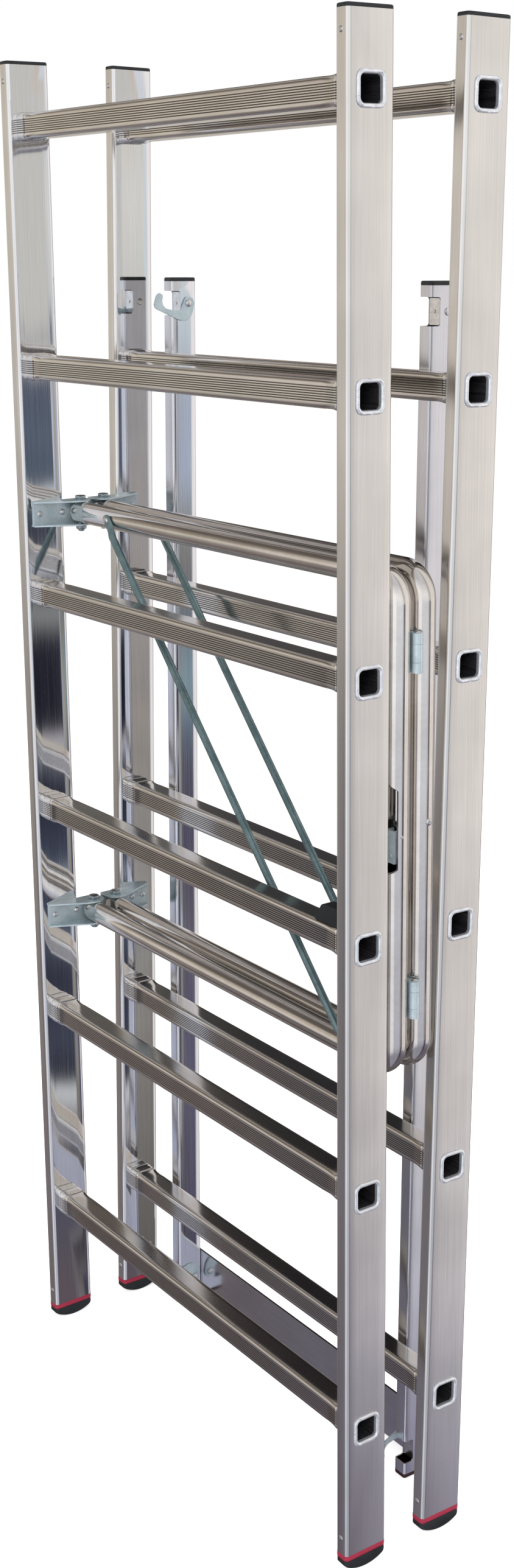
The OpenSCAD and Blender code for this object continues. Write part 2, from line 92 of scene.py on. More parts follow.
def lofted(rings: np.ndarray, loop: bool = False) -> Shell:
    """Join rings of points into one closed surface.

    Point (i, j) is the j-th point of ring i. Each face joins (i, j), (i+1, j),
    (i+1, j+1) and (i, j+1). An open loft is closed at its first and last rings by
    fans to the rings' centres.

    Args:
        rings: points as an array of shape (rings, points, 3).
        loop: join the last ring back to the first.

    Returns:
        The closed shell.
    """
    n, m = rings.shape[:2]
    index = np.arange(n * m).reshape(n, m)
    nxt = np.roll(index, -1, axis=1)
    low, high = (index, np.roll(index, -1, axis=0)) if loop else (index[:-1], index[1:])
    low_n, high_n = (nxt, np.roll(nxt, -1, axis=0)) if loop else (nxt[:-1], nxt[1:])
    quads = np.stack([low, high, high_n, low_n], axis=-1).reshape(-1, 4)
    points, tris = rings.reshape(-1, 3), np.zeros((0, 3), int)
    if not loop:
        points = np.vstack([points, rings[0].mean(0), rings[-1].mean(0)])
        first = np.stack([np.full(m, n * m), index[0], nxt[0]], axis=-1)
        last = np.stack([np.full(m, n * m + 1), nxt[-1], index[-1]], axis=-1)
        tris = np.vstack([first, last])
    return Shell(points, quads, tris).outward()


def together(shells: list[Shell]) -> Shell:
    """Put several shells in one, without joining their surfaces.

    Args:
        shells: the shells.

    Returns:
        One shell holding all their points and faces.
    """
    starts = np.cumsum([0] + [len(s.points) for s in shells[:-1]])
    return Shell(
        np.vstack([s.points for s in shells]),
        np.vstack([s.quads + k for s, k in zip(shells, starts)]),
        np.vstack([s.tris + k for s, k in zip(shells, starts)]),
    )


def rounded_outline(w: float, d: float, r: float, side: int = 8, corner: int = 8) -> np.ndarray:
    """Outline of a rectangle w by d with corners of radius r, once round.

    Each corner is centre + r (cos t, sin t) for t over a quarter turn, and each
    side is a straight run between two corners.

    Args:
        w: width along the first axis.
        d: depth along the second axis.
        r: corner radius.
        side: points added along each straight side.
        corner: points along each corner.

    Returns:
        Points of shape (count, 2), counter-clockwise.
    """
    centres = np.array([[w / 2 - r, d / 2 - r], [r - w / 2, d / 2 - r], [r - w / 2, r - d / 2],
                        [w / 2 - r, r - d / 2]])
    t = np.linspace(0, math.pi / 2, corner)
    arcs = [c + r * np.stack([np.cos(t + k * math.pi / 2), np.sin(t + k * math.pi / 2)], -1) for k,
            c in enumerate(centres)]
    runs = []
    for k, arc in enumerate(arcs):
        end = arcs[(k + 1) % 4][0]
        s = (np.arange(side) + 1)[:, None] / (side + 1)
        runs += [arc, arc[-1] * (1 - s) + end * s]
    return np.vstack(runs)


def basis(axis: tuple[float, float, float]) -> np.ndarray:
    """Three unit vectors, the last along the axis.

    Args:
        axis: direction of the third vector.

    Returns:
        A 3 by 3 array whose rows are the vectors.
    """
    w = np.asarray(axis, float) / np.linalg.norm(axis)
    helper = np.array([0.0, 0.0, 1.0]) if abs(w[2]) < 0.9 else np.array([1.0, 0.0, 0.0])
    u = np.cross(helper, w)
    u /= np.linalg.norm(u)
    return np.array([u, np.cross(w, u), w])


def turned(profile: list[tuple[float, float]], at: tuple, axis: tuple, sides: int = 28) -> Shell:
    """A turned solid, such as a rivet head.

    Point (h, t) is at + r(h) cos(t) u + r(h) sin(t) v + h w, where w is the axis.

    Args:
        profile: (radius, height) pairs from one end to the other.
        at: the point that height 0 has.
        axis: direction of growing height.
        sides: points round the axis.

    Returns:
        The closed shell.
    """
    u, v, w = basis(axis)
    t = np.linspace(0, 2 * math.pi, sides, endpoint=False)
    r, h = (np.array(c, float) for c in zip(*profile))
    ring = np.cos(t)[:, None] * u + np.sin(t)[:, None] * v
    return lofted(np.asarray(at, float) + r[:, None, None] * ring[None] + h[:, None, None] * w)


def domed_head(radius: float, height: float, at: tuple, axis: tuple, pin: float = 0.0) -> Shell:
    """Round rivet head with an upset dimple, standing on the point at.

    The dome is r = R cos(a), h = H sin(a), flattened at the top over pin.

    Args:
        radius: head radius.
        height: head height.
        at: centre of the head's seat.
        axis: outward direction.
        pin: radius of the mandrel hole in the middle, or 0.

    Returns:
        The closed shell.
    """
    a = np.linspace(0, math.pi / 2, 8)
    profile = [(radius * 0.98, -0.3)] + [(radius * math.cos(x), 0.15 + (height - 0.15) * math.sin(x))
                                         for x in a[:-1]]
    if pin > 0:
        profile = [p for p in profile if p[0] > pin * 1.2]
        profile += [(pin, height * 0.9), (pin * 0.8, height * 0.45), (pin * 0.5, height * 0.4)]
    return turned(profile, at, axis)


def hexagon(across: float, height: float, at: tuple, axis: tuple, dome: float = 0.0) -> Shell:
    """Hexagon head or nut with its corners chamfered at 30 degrees.

    The radius at angle t is a / cos(t mod 60 - 30), cut to the chamfer's share of a
    near both ends, where a is half the width across flats.

    Args:
        across: width across flats.
        height: height along the axis.
        at: centre of the seat.
        axis: outward direction.
        dome: height of a plastic locking collar on top.

    Returns:
        The closed shell.
    """
    u, v, w = basis(axis)
    t = np.linspace(0, 2 * math.pi, 72, endpoint=False)
    flat = across / 2 / np.cos((t % (math.pi / 3)) - math.pi / 6)
    level = [(0.0, 0.92), (0.35, 0.965), (0.9, 1.2), (height - 1.1, 1.2), (height - 0.45, 1.0),
             (height, 0.9)]
    radii = [np.minimum(flat, across / 2 * k) for _, k in level]
    heights = [h for h, _ in level]
    if dome:
        radii += [np.full(72, across * 0.40), np.full(72, across * 0.38), np.full(72, across * 0.30),
                  np.full(72, across * 0.27)]
        heights += [height + 0.05, height + dome * 0.7, height + dome, height + dome * 0.6]
    rings = [
        np.asarray(at, float) + r[:, None] * (np.cos(t)[:, None] * u + np.sin(t)[:, None] * v) + h * w
        for r, h in zip(radii, heights)
    ]
    return lofted(np.array(rings))


# ---------------------------------------------------------------- placing


@dataclass(frozen=True)
class Placing:
    """Where a sub-assembly stands: leaned back about a pivot, then moved."""

    shift: tuple[float, float, float] = (0.0, 0.0, 0.0)
    lean: float = 0.0
    pivot: tuple[float, float, float] = (0.0, 0.0, 0.0)

    def place(self, points: np.ndarray) -> np.ndarray:
        """Row frame position: turn(p - pivot) + pivot + shift, in metres.

        Args:
            points: points in the sub-assembly's own frame, in millimetres.

        Returns:
            The points in the row frame, in metres.
        """
        a = math.radians(self.lean)
        turn = np.array([[1, 0, 0], [0, math.cos(a), math.sin(a)], [0, -math.sin(a), math.cos(a)]])
        pivot = np.array(self.pivot)
        return ((points - pivot) @ turn.T + pivot + np.array(self.shift)) * MM


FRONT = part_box("near_left_stile")[0].y / MM
NEAR = Placing((0.0, FRONT, 0.0))

# The far ladder stands this far behind the near one and leans back about the centre of its soles' round.
FAR_GAP = 110.0
FAR_LEAN = 1.25
FAR_PIVOT = (0.0, 28.25, 49.0)
FAR = Placing((0.0, FRONT + FAR_GAP, 0.0), FAR_LEAN, FAR_PIVOT)

# The bridging frame stands on the rear edge of its lower caps, and its rails start on top of them.
BRIDGE_LEAN = 0.9
BRIDGE_RAIL_D = 36.0
BRIDGE_CAP = 6.0
BRIDGE_SINE = math.sin(math.radians(BRIDGE_LEAN))
BRIDGE_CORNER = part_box("bridge_left_rail")[0]
BRIDGE_X, BRIDGE_Y = BRIDGE_CORNER.x / MM, BRIDGE_CORNER.y / MM
BRIDGE = Placing((BRIDGE_X, BRIDGE_Y - BRIDGE_CAP * BRIDGE_SINE, BRIDGE_RAIL_D * BRIDGE_SINE), BRIDGE_LEAN)


def new_piece(name: str, shell: Shell, placing: Placing, body: str, finish: "Finish",
              sharp: float = 38.0) -> bpy.types.Object:
    """Make a mesh object from a shell, dress it and hang it on a body.

    Args:
        name: the piece's name.
        shell: its surface, in the sub-assembly's own frame.
        placing: where that frame stands.
        body: CAD body that it moves with.
        finish: its finish.
        sharp: edges that turn by more than this many degrees stay crisp.

    Returns:
        The new object.
    """
    mesh = bpy.data.meshes.new(name)
    points = placing.place(shell.points)
    quads, tris = shell.quads, shell.tris
    mesh.vertices.add(len(points))
    mesh.vertices.foreach_set("co", points.astype(np.float32).ravel())
    mesh.loops.add(quads.size + tris.size)
    mesh.loops.foreach_set("vertex_index", np.concatenate([quads.ravel(), tris.ravel()]).astype(np.int32))
    totals = np.concatenate([np.full(len(quads), 4), np.full(len(tris), 3)])
    mesh.polygons.add(len(totals))
    mesh.polygons.foreach_set("loop_start", (np.cumsum(totals) - totals).astype(np.int32))
    mesh.polygons.foreach_set("use_smooth", np.ones(len(totals), bool))
    mesh.update(calc_edges=True)
    mesh.validate()
    mesh.set_sharp_from_angle(angle=math.radians(sharp))
    piece = bpy.data.objects.new(name, mesh)
    bpy.context.scene.collection.objects.link(piece)
    finish.dress(piece)
    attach(piece, body)
    LOG.info("%s: %d faces on %s", name, len(totals), body)
    return piece


def eased_copy(node: str, body: str, finish: "Finish", ease: float = 0.35,
               sharp: float = 30.0) -> bpy.types.Object:
    """Stand a copy of a CAD node in its place, with its crisp edges eased.

    The copy's loose triangles are merged and its flat faces joined, then a bevel
    of the given width rounds each edge that turns by more than the angle.

    Args:
        node: the CAD node.
        body: CAD body that it moves with.
        finish: its finish.
        ease: width of the eased edge in millimetres, or 0 for none.
        sharp: smallest edge angle, in degrees, that is eased or stays crisp.

    Returns:
        The new object.
    """
    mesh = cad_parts[node].data.copy()
    mesh.name = node + "_eased"
    work = bmesh.new()
    work.from_mesh(mesh)
    bmesh.ops.remove_doubles(work, verts=work.verts, dist=2e-6)
    bmesh.ops.dissolve_limit(work, angle_limit=math.radians(0.4), verts=work.verts, edges=work.edges)
    work.to_mesh(mesh)
    work.free()
    if mesh.attributes.get("custom_normal"):
        mesh.attributes.remove(mesh.attributes["custom_normal"])
    mesh.materials.clear()
    mesh.polygons.foreach_set("use_smooth", np.ones(len(mesh.polygons), bool))
    mesh.set_sharp_from_angle(angle=math.radians(sharp))
    piece = bpy.data.objects.new(node + "_eased", mesh)
    bpy.context.scene.collection.objects.link(piece)
    if ease > 0:
        bevel = piece.modifiers.new("eased edges", "BEVEL")
        bevel.width = ease * MM
        bevel.segments = 2
        bevel.limit_method = "ANGLE"
        bevel.angle_limit = math.radians(sharp)
        bevel.harden_normals = True
    finish.dress(piece)
    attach(piece, body)
    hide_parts(node)
    LOG.info("%s: eased copy on %s", node, body)
    return piece


# ---------------------------------------------------------------- finishes


def linear(colour: str) -> tuple[float, float, float, float]:
    """Linear value of an sRGB hex colour.

    Each channel c becomes c / 12.92 up to 0.04045, else ((c + 0.055) / 1.055) ** 2.4.

    Args:
        colour: six hex digits after a hash sign.

    Returns:
        Red, green, blue and alpha.
    """
    channels = [int(colour[k : k + 2], 16) / 255 for k in (1, 3, 5)]
    r, g, b = (c / 12.92 if c <= 0.04045 else ((c + 0.055) / 1.055) ** 2.4 for c in channels)
    return (r, g, b, 1.0)


def add_node(tree: bpy.types.NodeTree, kind: str, settings: dict | None = None,
             **inputs: object) -> bpy.types.Node:
    """Add a node with its settings, values and links.

    Args:
        tree: the node tree.
        kind: the node's type name.
        settings: node properties by name.
        inputs: socket values, or sockets to link, by socket name with _ for a
            space, or i0, i1 and so on for a socket's place.

    Returns:
        The new node.
    """
    node = tree.nodes.new(kind)
    for key, value in (settings or {}).items():
        setattr(node, key, value)
    for key, value in inputs.items():
        by_place = key[0] == "i" and key[1:].isdigit()
        socket = node.inputs[int(key[1:]) if by_place else key.replace("_", " ")]
        if isinstance(value, bpy.types.NodeSocket):
            tree.links.new(value, socket)
        else:
            socket.default_value = value
    return node


class Grain(Enum):
    """Which way a metal's fine lines run, as stretches of the pattern along X, Y and Z."""

    ALONG_X = (0.012, 1.0, 1.0)
    ALONG_Z = (1.0, 1.0, 0.012)
    NONE = (1.0, 1.0, 1.0)


@dataclass(frozen=True)
class Finish:
    """One surface finish. The colours are the pale and dark ends of its variation."""

    name: str
    slot: str
    pale: str
    dark: str
    metallic: float
    rough_low: float
    rough_high: float
    grain: Grain = Grain.NONE
    line_mm: float = 0.8
    bump_mm: float = 0.01
    patch_mm: float = 60.0
    patch_share: float = 0.35
    specular: float = 0.5
    coat: float = 0.0
    # dark end of the painted reflection streaks on the left inner faces, or None
    inner: str | None = None
    inner_rough: float = 0.16

    def dress(self, piece: bpy.types.Object) -> None:
        """Give a piece this finish in every material slot."""
        material = self.material()
        if piece.data.materials:
            for k in range(len(piece.data.materials)):
                piece.material_slots[k].link = "OBJECT"
                piece.material_slots[k].material = material
        else:
            piece.data.materials.append(material)

    def material(self) -> bpy.types.Material:
        """Build the finish once.

        The colour runs between the dark and pale ends by a share of fine lines and
        a share of soft patches. The roughness and the bump follow the fine lines.

        Returns:
            The material.
        """
        if self.name in bpy.data.materials:
            return bpy.data.materials[self.name]
        material = bpy.data.materials.new(self.name)
        material.use_nodes = True
        tree = material.node_tree
        tree.nodes.clear()
        out = tree.nodes.new("ShaderNodeOutputMaterial")
        place = add_node(tree, "ShaderNodeTexCoord").outputs["Object"]
        stretched = add_node(tree, "ShaderNodeMapping", i3=self.grain.value, Vector=place).outputs[0]
        lines = add_node(tree, "ShaderNodeTexNoise", Vector=stretched, Scale=1000 / self.line_mm,
                         Detail=4.0, Roughness=0.6)
        patches = add_node(tree, "ShaderNodeTexNoise", Vector=place, Scale=1000 / self.patch_mm, Detail=2.0)
        line_v = add_node(tree, "ShaderNodeMapRange", Value=lines.outputs["Fac"], From_Min=0.25,
                          From_Max=0.75).outputs[0]
        patch_v = add_node(tree, "ShaderNodeMapRange", Value=patches.outputs["Fac"], From_Min=0.3,
                           From_Max=0.7).outputs[0]
        share = add_node(tree, "ShaderNodeMix", {"data_type": "FLOAT"}, i0=self.patch_share, i2=line_v,
                         i3=patch_v).outputs[0]
        colour = add_node(tree, "ShaderNodeMix", {"data_type": "RGBA"}, i0=share, i6=linear(self.dark),
                          i7=linear(self.pale)).outputs[2]
        rough = add_node(tree, "ShaderNodeMapRange", Value=share, To_Min=self.rough_high,
                         To_Max=self.rough_low).outputs[0]
        # faces that look along +X on the left side get painted reflection streaks
        if self.inner:
            colour, rough = self.painted_reflection_streaks(tree, place, line_v, colour, rough)
        bump = add_node(tree, "ShaderNodeBump", Height=lines.outputs["Fac"], Distance=self.bump_mm * MM * 4,
                        Strength=0.5)
        shader = add_node(tree, "ShaderNodeBsdfPrincipled", Base_Color=colour, Roughness=rough,
                          Normal=bump.outputs[0])
        shader.inputs["Metallic"].default_value = self.metallic
        shader.inputs["Specular IOR Level"].default_value = self.specular
        shader.inputs["Coat Weight"].default_value = self.coat
        shader.inputs["Coat Roughness"].default_value = 0.2
        tree.links.new(shader.outputs[0], out.inputs[0])
        return material

    def painted_reflection_streaks(self, tree: bpy.types.NodeTree, place: bpy.types.NodeSocket, line_v: bpy.types.NodeSocket,
                  colour: bpy.types.NodeSocket, rough: bpy.types.NodeSocket) -> tuple[bpy.types.NodeSocket,
                          bpy.types.NodeSocket]:
        """Mix in painted reflection streaks, from the inner colour to near white along the fine lines, with
        a smoother roughness, on faces that look along +X on the left side.

        Args:
            tree: the node tree.
            place: object coordinates.
            line_v: the fine lines, from 0 to 1.
            colour: colour of the other faces.
            rough: roughness of the other faces.

        Returns:
            The mixed colour and roughness.
        """
        normal = add_node(tree, "ShaderNodeNewGeometry").outputs["Normal"]
        facing = add_node(tree, "ShaderNodeSeparateXYZ", Vector=normal).outputs[0]
        side = add_node(tree, "ShaderNodeSeparateXYZ", Vector=place).outputs[0]
        inward = add_node(tree, "ShaderNodeMapRange", Value=facing, From_Min=0.75, From_Max=0.95).outputs[0]
        left = add_node(tree, "ShaderNodeMath", {"operation": "LESS_THAN"}, i0=side, i1=0.0).outputs[0]
        mask = add_node(tree, "ShaderNodeMath", {"operation": "MULTIPLY"}, i0=inward, i1=left).outputs[0]
        # painted reflection streaks: the inner colour runs to near white along the fine lines
        streaked = add_node(tree, "ShaderNodeMix", {"data_type": "RGBA"}, i0=line_v, i6=linear(self.inner),
                            i7=linear("#f2f3f5")).outputs[2]
        mixed = add_node(tree, "ShaderNodeMix", {"data_type": "RGBA"}, i0=mask, i6=colour,
                         i7=streaked).outputs[2]
        inner_rough = add_node(tree, "ShaderNodeMapRange", Value=line_v, To_Min=self.inner_rough,
                               To_Max=self.inner_rough + 0.035).outputs[0]
        mixed_rough = add_node(tree, "ShaderNodeMix", {"data_type": "FLOAT"}, i0=mask, i2=rough,
                               i3=inner_rough).outputs[0]
        return mixed, mixed_rough


# Extruded aluminium, satin outside and smoother inside, with painted reflection streaks on the left stiles'
# inner faces: fine lengthwise die lines and a soft, slightly warm sheen.
STILE = Finish("Satin extruded aluminium", "stile_aluminium", "#edebe9", "#dcdad7", 1.0, 0.20, 0.28,
               Grain.ALONG_Z, 1.4, 0.0006, 90.0, 0.5, inner="#dfe0e4", inner_rough=0.03)
# Fluted aluminium rung stock: crisper and a little darker, die lines along the rung.
RUNG = Finish("Fluted rung aluminium", "rung_aluminium", "#eae6e2", "#d6d1cb", 1.0, 0.12, 0.19,
              Grain.ALONG_X, 1.6, 0.0006, 70.0, 0.7)
# Inside of the rung stock: dark as painted shade inside the tube, and dull, with a few bright drawn lines.
BORE = Finish("Aluminium bore with painted shade", "rung_aluminium", "#77767c", "#1a191c", 0.8, 0.16, 0.4,
              Grain.ALONG_X, 2.0, 0.004, 20.0, 0.2)
# Walls and floors of the rung's flutes: darker than the lands, as painted shade in the grooves.
FLUTE_SHADE = Finish("Flute with painted shade", "rung_aluminium", "#8d8780", "#625d58", 1.0, 0.22, 0.34,
               Grain.ALONG_X, 1.6, 0.001, 40.0, 0.4)
# Rolled rung end: burnished by the flaring tool, so it is the brightest metal of all.
FLARE = Finish("Burnished rung end", "rung_aluminium", "#f4f6fa", "#c8ccd4", 0.75, 0.14, 0.24,
               Grain.NONE, 1.5, 0.002, 8.0, 0.5)
# The bridging frame's rails: a cooler and smoother extrusion than the stiles, with the same painted
# reflection streaks on the left rail's inner face.
RAIL = Finish("Bright extruded aluminium", "bridge_aluminium", "#e2e3e9", "#cdced6", 1.0, 0.14, 0.22,
              Grain.ALONG_Z, 1.2, 0.0006, 80.0, 0.5, inner="#dcdee6", inner_rough=0.04)
# Rolled aluminium sheet of the cross bar: satin, with faint lines along the bar.
BAR = Finish("Rolled aluminium sheet", "bridge_aluminium", "#dedde0", "#c4c2c6", 1.0, 0.12, 0.20,
             Grain.ALONG_X, 1.4, 0.0008, 70.0, 0.5)
# Drawn and polished aluminium tube: nearly a mirror, with faint handling marks.
TUBE = Finish("Polished aluminium tube", "polished_tube", "#e8e4e0", "#d5d0cb", 1.0, 0.06, 0.13,
              Grain.NONE, 6.0, 0.001, 45.0, 0.6)
# Bright zinc plate on pressed steel: blue-grey, softly mottled.
ZINC = Finish("Zinc plated sheet steel", "zinc_sheet", "#c9d6db", "#a3b4bb", 0.55, 0.24, 0.36,
              Grain.NONE, 3.0, 0.012, 14.0, 0.5)
# Zinc plate on drawn rod: duller and greener than the sheet.
ROD = Finish("Zinc plated steel rod", "zinc_rod", "#879ea2", "#546a6f", 0.8, 0.26, 0.40,
             Grain.NONE, 2.5, 0.015, 22.0, 0.5)
# Zinc plate on the bolts and nuts: fully metallic and a little smoother than the sheet.
BOLT = Finish("Zinc plated bolt steel", "zinc_fastener", "#cbd6da", "#95a4ab", 1.0, 0.20, 0.34,
              Grain.NONE, 2.0, 0.01, 9.0, 0.5)
# Rivets, pins and notch liners: nearly white and smoother than the zinc.
RIVET = Finish("Bright aluminium rivet", "bright_fastener", "#f0f0f0", "#c9cacb", 1.0, 0.14, 0.26,
               Grain.NONE, 2.0, 0.008, 6.0, 0.5)
# Injection moulded polypropylene: fine even grain, dull.
BLACK = Finish("Black moulded plastic", "black_plastic", "#1d2226", "#0d1013", 0.0, 0.34, 0.48,
               Grain.NONE, 0.9, 0.02, 30.0, 0.4, specular=0.45)
# Dark red plastic of the bridging frame's lower caps, with the black one's grain.
DARK_RED = Finish("Dark red moulded plastic", "dark_red_plastic", "#3a1016", "#1d080b", 0.0, 0.36, 0.5,
                  Grain.NONE, 0.9, 0.02, 30.0, 0.4, specular=0.45)
# Crimson plastic of the foot bands, with the same grain.
CRIMSON = Finish("Crimson moulded plastic", "crimson_plastic", "#a3193c", "#83102e", 0.0, 0.32, 0.46,
                 Grain.NONE, 0.9, 0.02, 30.0, 0.4, specular=0.5)
# Moulded rubber: dark, broad sheen, dusty in patches.
SOLE = Finish("Black moulded rubber", "black_rubber", "#23272b", "#0f1114", 0.0, 0.42, 0.6,
              Grain.NONE, 1.2, 0.03, 18.0, 0.5, specular=0.4)


# ---------------------------------------------------------------- ladders


@dataclass
class LadderFrame:
    """One ladder: two stiles, six swaged rungs, caps, feet and end rivets."""

    prefix: str
    body: str
    placing: Placing
    half_w: float = 334.0
    stile_t: float = 19.0
    stile_d: float = 56.5
    stile_top: float = 1643.5
    foot_h: float = 21.5
    band_h: float = 6.5
    cap_h: float = 4.0
    sole_r: float = 49.0
    rung_s: float = 29.0
    rung_r: float = 4.5
    rungs: int = 6
    rung_wall: float = 1.7
    rung_first: float = 173.5
    rung_pitch: float = 280.0
    flange: float = 35.0
    flute_pitch: float = 2.4
    flute_w: float = 1.15
    flute_depth: float = 0.6
    flutes: int = 7
    knurl_pitch: float = 2.3
    knurl_depth: float = 0.42

    @property
    def inner_x(self) -> float:
        """X of the stiles' inner faces."""
        return self.half_w - self.stile_t

    @property
    def mid_y(self) -> float:
        """Depth of the rungs' centre line."""
        return self.stile_d / 2

    def build(self) -> None:
        """Make and dress every piece of the ladder."""
        for side in ("left", "right"):
            eased_copy(f"{self.prefix}_{side}_stile", self.body, STILE, 0.0)
        for number in range(1, self.rungs + 1):
            self.rung(number)
        self.caps()
        self.feet()
        self.end_rivets()

    def rung(self, number: int) -> None:
        """Make one rung: fluted tube, swaged beads inside the stiles, knurled flares outside.

        Each station along X has an outline of a given size and corner radius, with a
        share of the flutes' and the knurl's depth. The faces take the finish of the
        bore, the flare, the flutes or the rung by their place along and round it. The
        bore and the flutes are darkened as painted shade.

        Args:
            number: rung number, 1 at the top.
        """
        wall, size, inner = self.rung_wall, self.rung_s, self.inner_x
        bore = size - 2 * wall
        stations = [  # x, size, corner radius, flute share, knurl share
            (0.0, size, self.rung_r, 1.0, 0.0), (inner - 60.0, size, self.rung_r, 1.0, 0.0),
            (inner - 40.0, size, 4.6, 1.0, 0.0),
            (inner - 34.0, size - 0.3, 4.8, 1.0, 0.0), (inner - 28.0, size - 0.2, 5.0, 1.0, 0.0),
            (inner - 22.0, size + 0.8, 5.4, 1.0, 0.0),
            (inner - 18.5, size + 2.0, 5.8, 1.0, 0.0), (inner - 16.8, size + 2.3, 6.0, 1.0, 0.0),
            (inner - 16.0, size + 0.9, 5.8, 0.9, 0.0),
            (inner - 15.2, size + 2.5, 6.0, 1.0, 0.0), (inner - 12.0, size + 2.8, 6.2, 1.0, 0.0),
            (inner - 7.0, size + 2.4, 6.2, 0.9, 0.0),
            (inner - 4.5, size + 2.9, 6.6, 0.8, 0.0), (inner - 2.2, size + 3.9, 7.2, 0.6, 0.0),
            (inner - 0.8, size + 3.8, 7.2, 0.5, 0.0),
            (inner - 0.1, size + 3.0, 7.0, 0.3, 0.0), (inner + 0.4, size, 6.0, 0.0, 0.0),
            (self.half_w - 0.6, size, 6.0, 0.0, 0.0), (self.half_w + 0.02, size + 1.0, 6.5, 0.0, 0.0),
            (self.half_w + 0.05, self.flange - 0.6, 8.0, 0.0, 0.0),
            (self.half_w + 0.5, self.flange, 8.2, 0.0, 0.3),
            (self.half_w + 1.2, self.flange - 0.2, 8.2, 0.0, 1.0),
            (self.half_w + 1.8, self.flange - 1.2, 7.8, 0.0, 1.0),
            (self.half_w + 2.15, self.flange - 2.6, 7.2, 0.0, 0.8),
            (self.half_w + 2.2, self.flange - 4.2, 6.6, 0.0, 0.25),
            (self.half_w + 2.0, self.flange - 6.4, 5.8, 0.0, 0.0),
            (self.half_w + 1.3, self.flange - 8.2, 5.2, 0.0, 0.0),
            (self.half_w - 0.4, self.flange - 9.2, 4.8, 0.0, 0.0), (self.half_w - 3.0, bore, 4.3, 0.0, 0.0),
            (inner - 40.0, bore, 4.3, 0.0, 0.0), (0.0, bore, 4.3, 0.0, 0.0),
        ]
        right = [self.station(*s) for s in stations]
        left = [r * np.array([-1.0, 1.0, 1.0]) for r in right[-2:0:-1]]
        middle_z = self.rung_first + self.rung_pitch * (self.rungs - number)
        rings = np.array(right + left) + np.array([0.0, self.mid_y, middle_z])
        node = f"{self.prefix}_rung_{number}"
        piece = new_piece(node + "_swaged", lofted(rings, loop=True), self.placing, self.body, RUNG, 50.0)
        # the bore's dark finish is painted shade inside the tube
        piece.data.materials.append(BORE.material())
        piece.data.materials.append(FLARE.material())
        piece.data.materials.append(FLUTE_SHADE.material())
        # Bands of faces, counted outwards from the middle of the bore.
        bore_end, flare_end, flutes_start = 2, 12, 14
        along = np.repeat(np.abs(np.arange(len(rings)) + 1.5 - len(right)), rings.shape[1])
        fluted, plain = (self.fluted_outline(size, self.rung_r, share) for share in (1.0, 0.0))
        sunk = np.any(fluted != plain, axis=1)
        groove = np.tile(sunk | np.roll(sunk, -1), len(rings))
        # groove faces take the flute finish: painted shade in the grooves
        kinds = [along < bore_end, along < flare_end, groove & (along > flutes_start)]
        index = np.select(kinds, [1, 2, 3], 0)
        piece.data.polygons.foreach_set("material_index", index.astype(np.int32))
        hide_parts(node)

    def station(self, x: float, size: float, radius: float, flute: float, knurl: float) -> np.ndarray:
        """Outline of the rung at one place along its length.

        The flare's face sinks by depth ((1 + cos(2 pi n s / S)) / 2) ** 1.5 at length s
        round its outline of length S, for n teeth.

        Args:
            x: place along the rung.
            size: outer size of the square.
            radius: its corner radius.
            flute: share of the full flute depth, 0 to 1.
            knurl: share of the full knurl depth, 0 to 1.

        Returns:
            Points of shape (count, 3).
        """
        flat = self.fluted_outline(size, radius, flute)
        y, z = flat[:, 0], flat[:, 1]
        run = np.cumsum(np.hypot(*np.diff(flat, axis=0, append=flat[:1]).T))
        teeth = round(run[-1] / self.knurl_pitch)
        sink = self.knurl_depth * knurl * (0.5 + 0.5 * np.cos(2 * np.pi * teeth * run / run[-1])) ** 1.5
        return np.stack([np.full_like(y, x) - sink, y * (1 - sink / size), z * (1 - sink / size)], -1)

    def fluted_outline(self, size: float, radius: float, flute: float) -> np.ndarray:
        """Outline of the rung stock, with narrow grooves along its front and back faces.

        Each groove has two steep walls and a flat floor: at z0 + (-1, -0.4, 0.4, 1) w / 2
        the face sinks by (0, 1, 1, 0) times the groove's depth.

        Args:
            size: outer size of the square.
            radius: its corner radius.
            flute: share of the full flute depth, 0 to 1.

        Returns:
            Points of shape (count, 2), counter-clockwise from the back face's top.
        """
        middles = (np.arange(self.flutes) - (self.flutes - 1) / 2) * self.flute_pitch
        z = (middles[:, None] + np.array([-1.0, -0.4, 0.4, 1.0]) * self.flute_w / 2).ravel()
        sunk = np.tile([0.0, 1.0, 1.0, 0.0], self.flutes) * self.flute_depth * flute
        back = np.stack([size / 2 - sunk, z], -1)
        t, flat = np.linspace(0, math.pi / 2, 9), size / 2 - radius
        runs = []
        for k in range(4):
            turn = np.array([[np.cos(k * np.pi / 2), np.sin(k * np.pi / 2)],
                             [-np.sin(k * np.pi / 2), np.cos(k * np.pi / 2)]])
            arc = flat + radius * np.stack([np.cos(t), np.sin(t)], -1)
            plain = np.stack([np.linspace(flat, -flat, 8)[1:-1], np.full(6, size / 2)], -1)
            runs += [arc @ turn, plain @ turn if k % 2 == 0 else back * (k - 2)]
        return np.vstack(runs)

    def loft_levels(self, x: float, levels: list[tuple[float, float]], w: float, d: float,
                    r: float) -> Shell:
        """A block with a rounded outline that pulls in by a given amount at each level.

        Args:
            x: centre of the block.
            levels: (inset, height) pairs, from the bottom up.
            w: width along X.
            d: depth along Y.
            r: corner radius of the widest level.

        Returns:
            The closed shell.
        """
        rings = []
        for inset, z in levels:
            flat = rounded_outline(w - 2 * inset, d - 2 * inset, max(r - inset, 0.4), 6, 9)
            rings.append(np.stack([flat[:, 0] + x, flat[:, 1] + self.mid_y, np.full(len(flat), z)], -1))
        return lofted(np.array(rings))

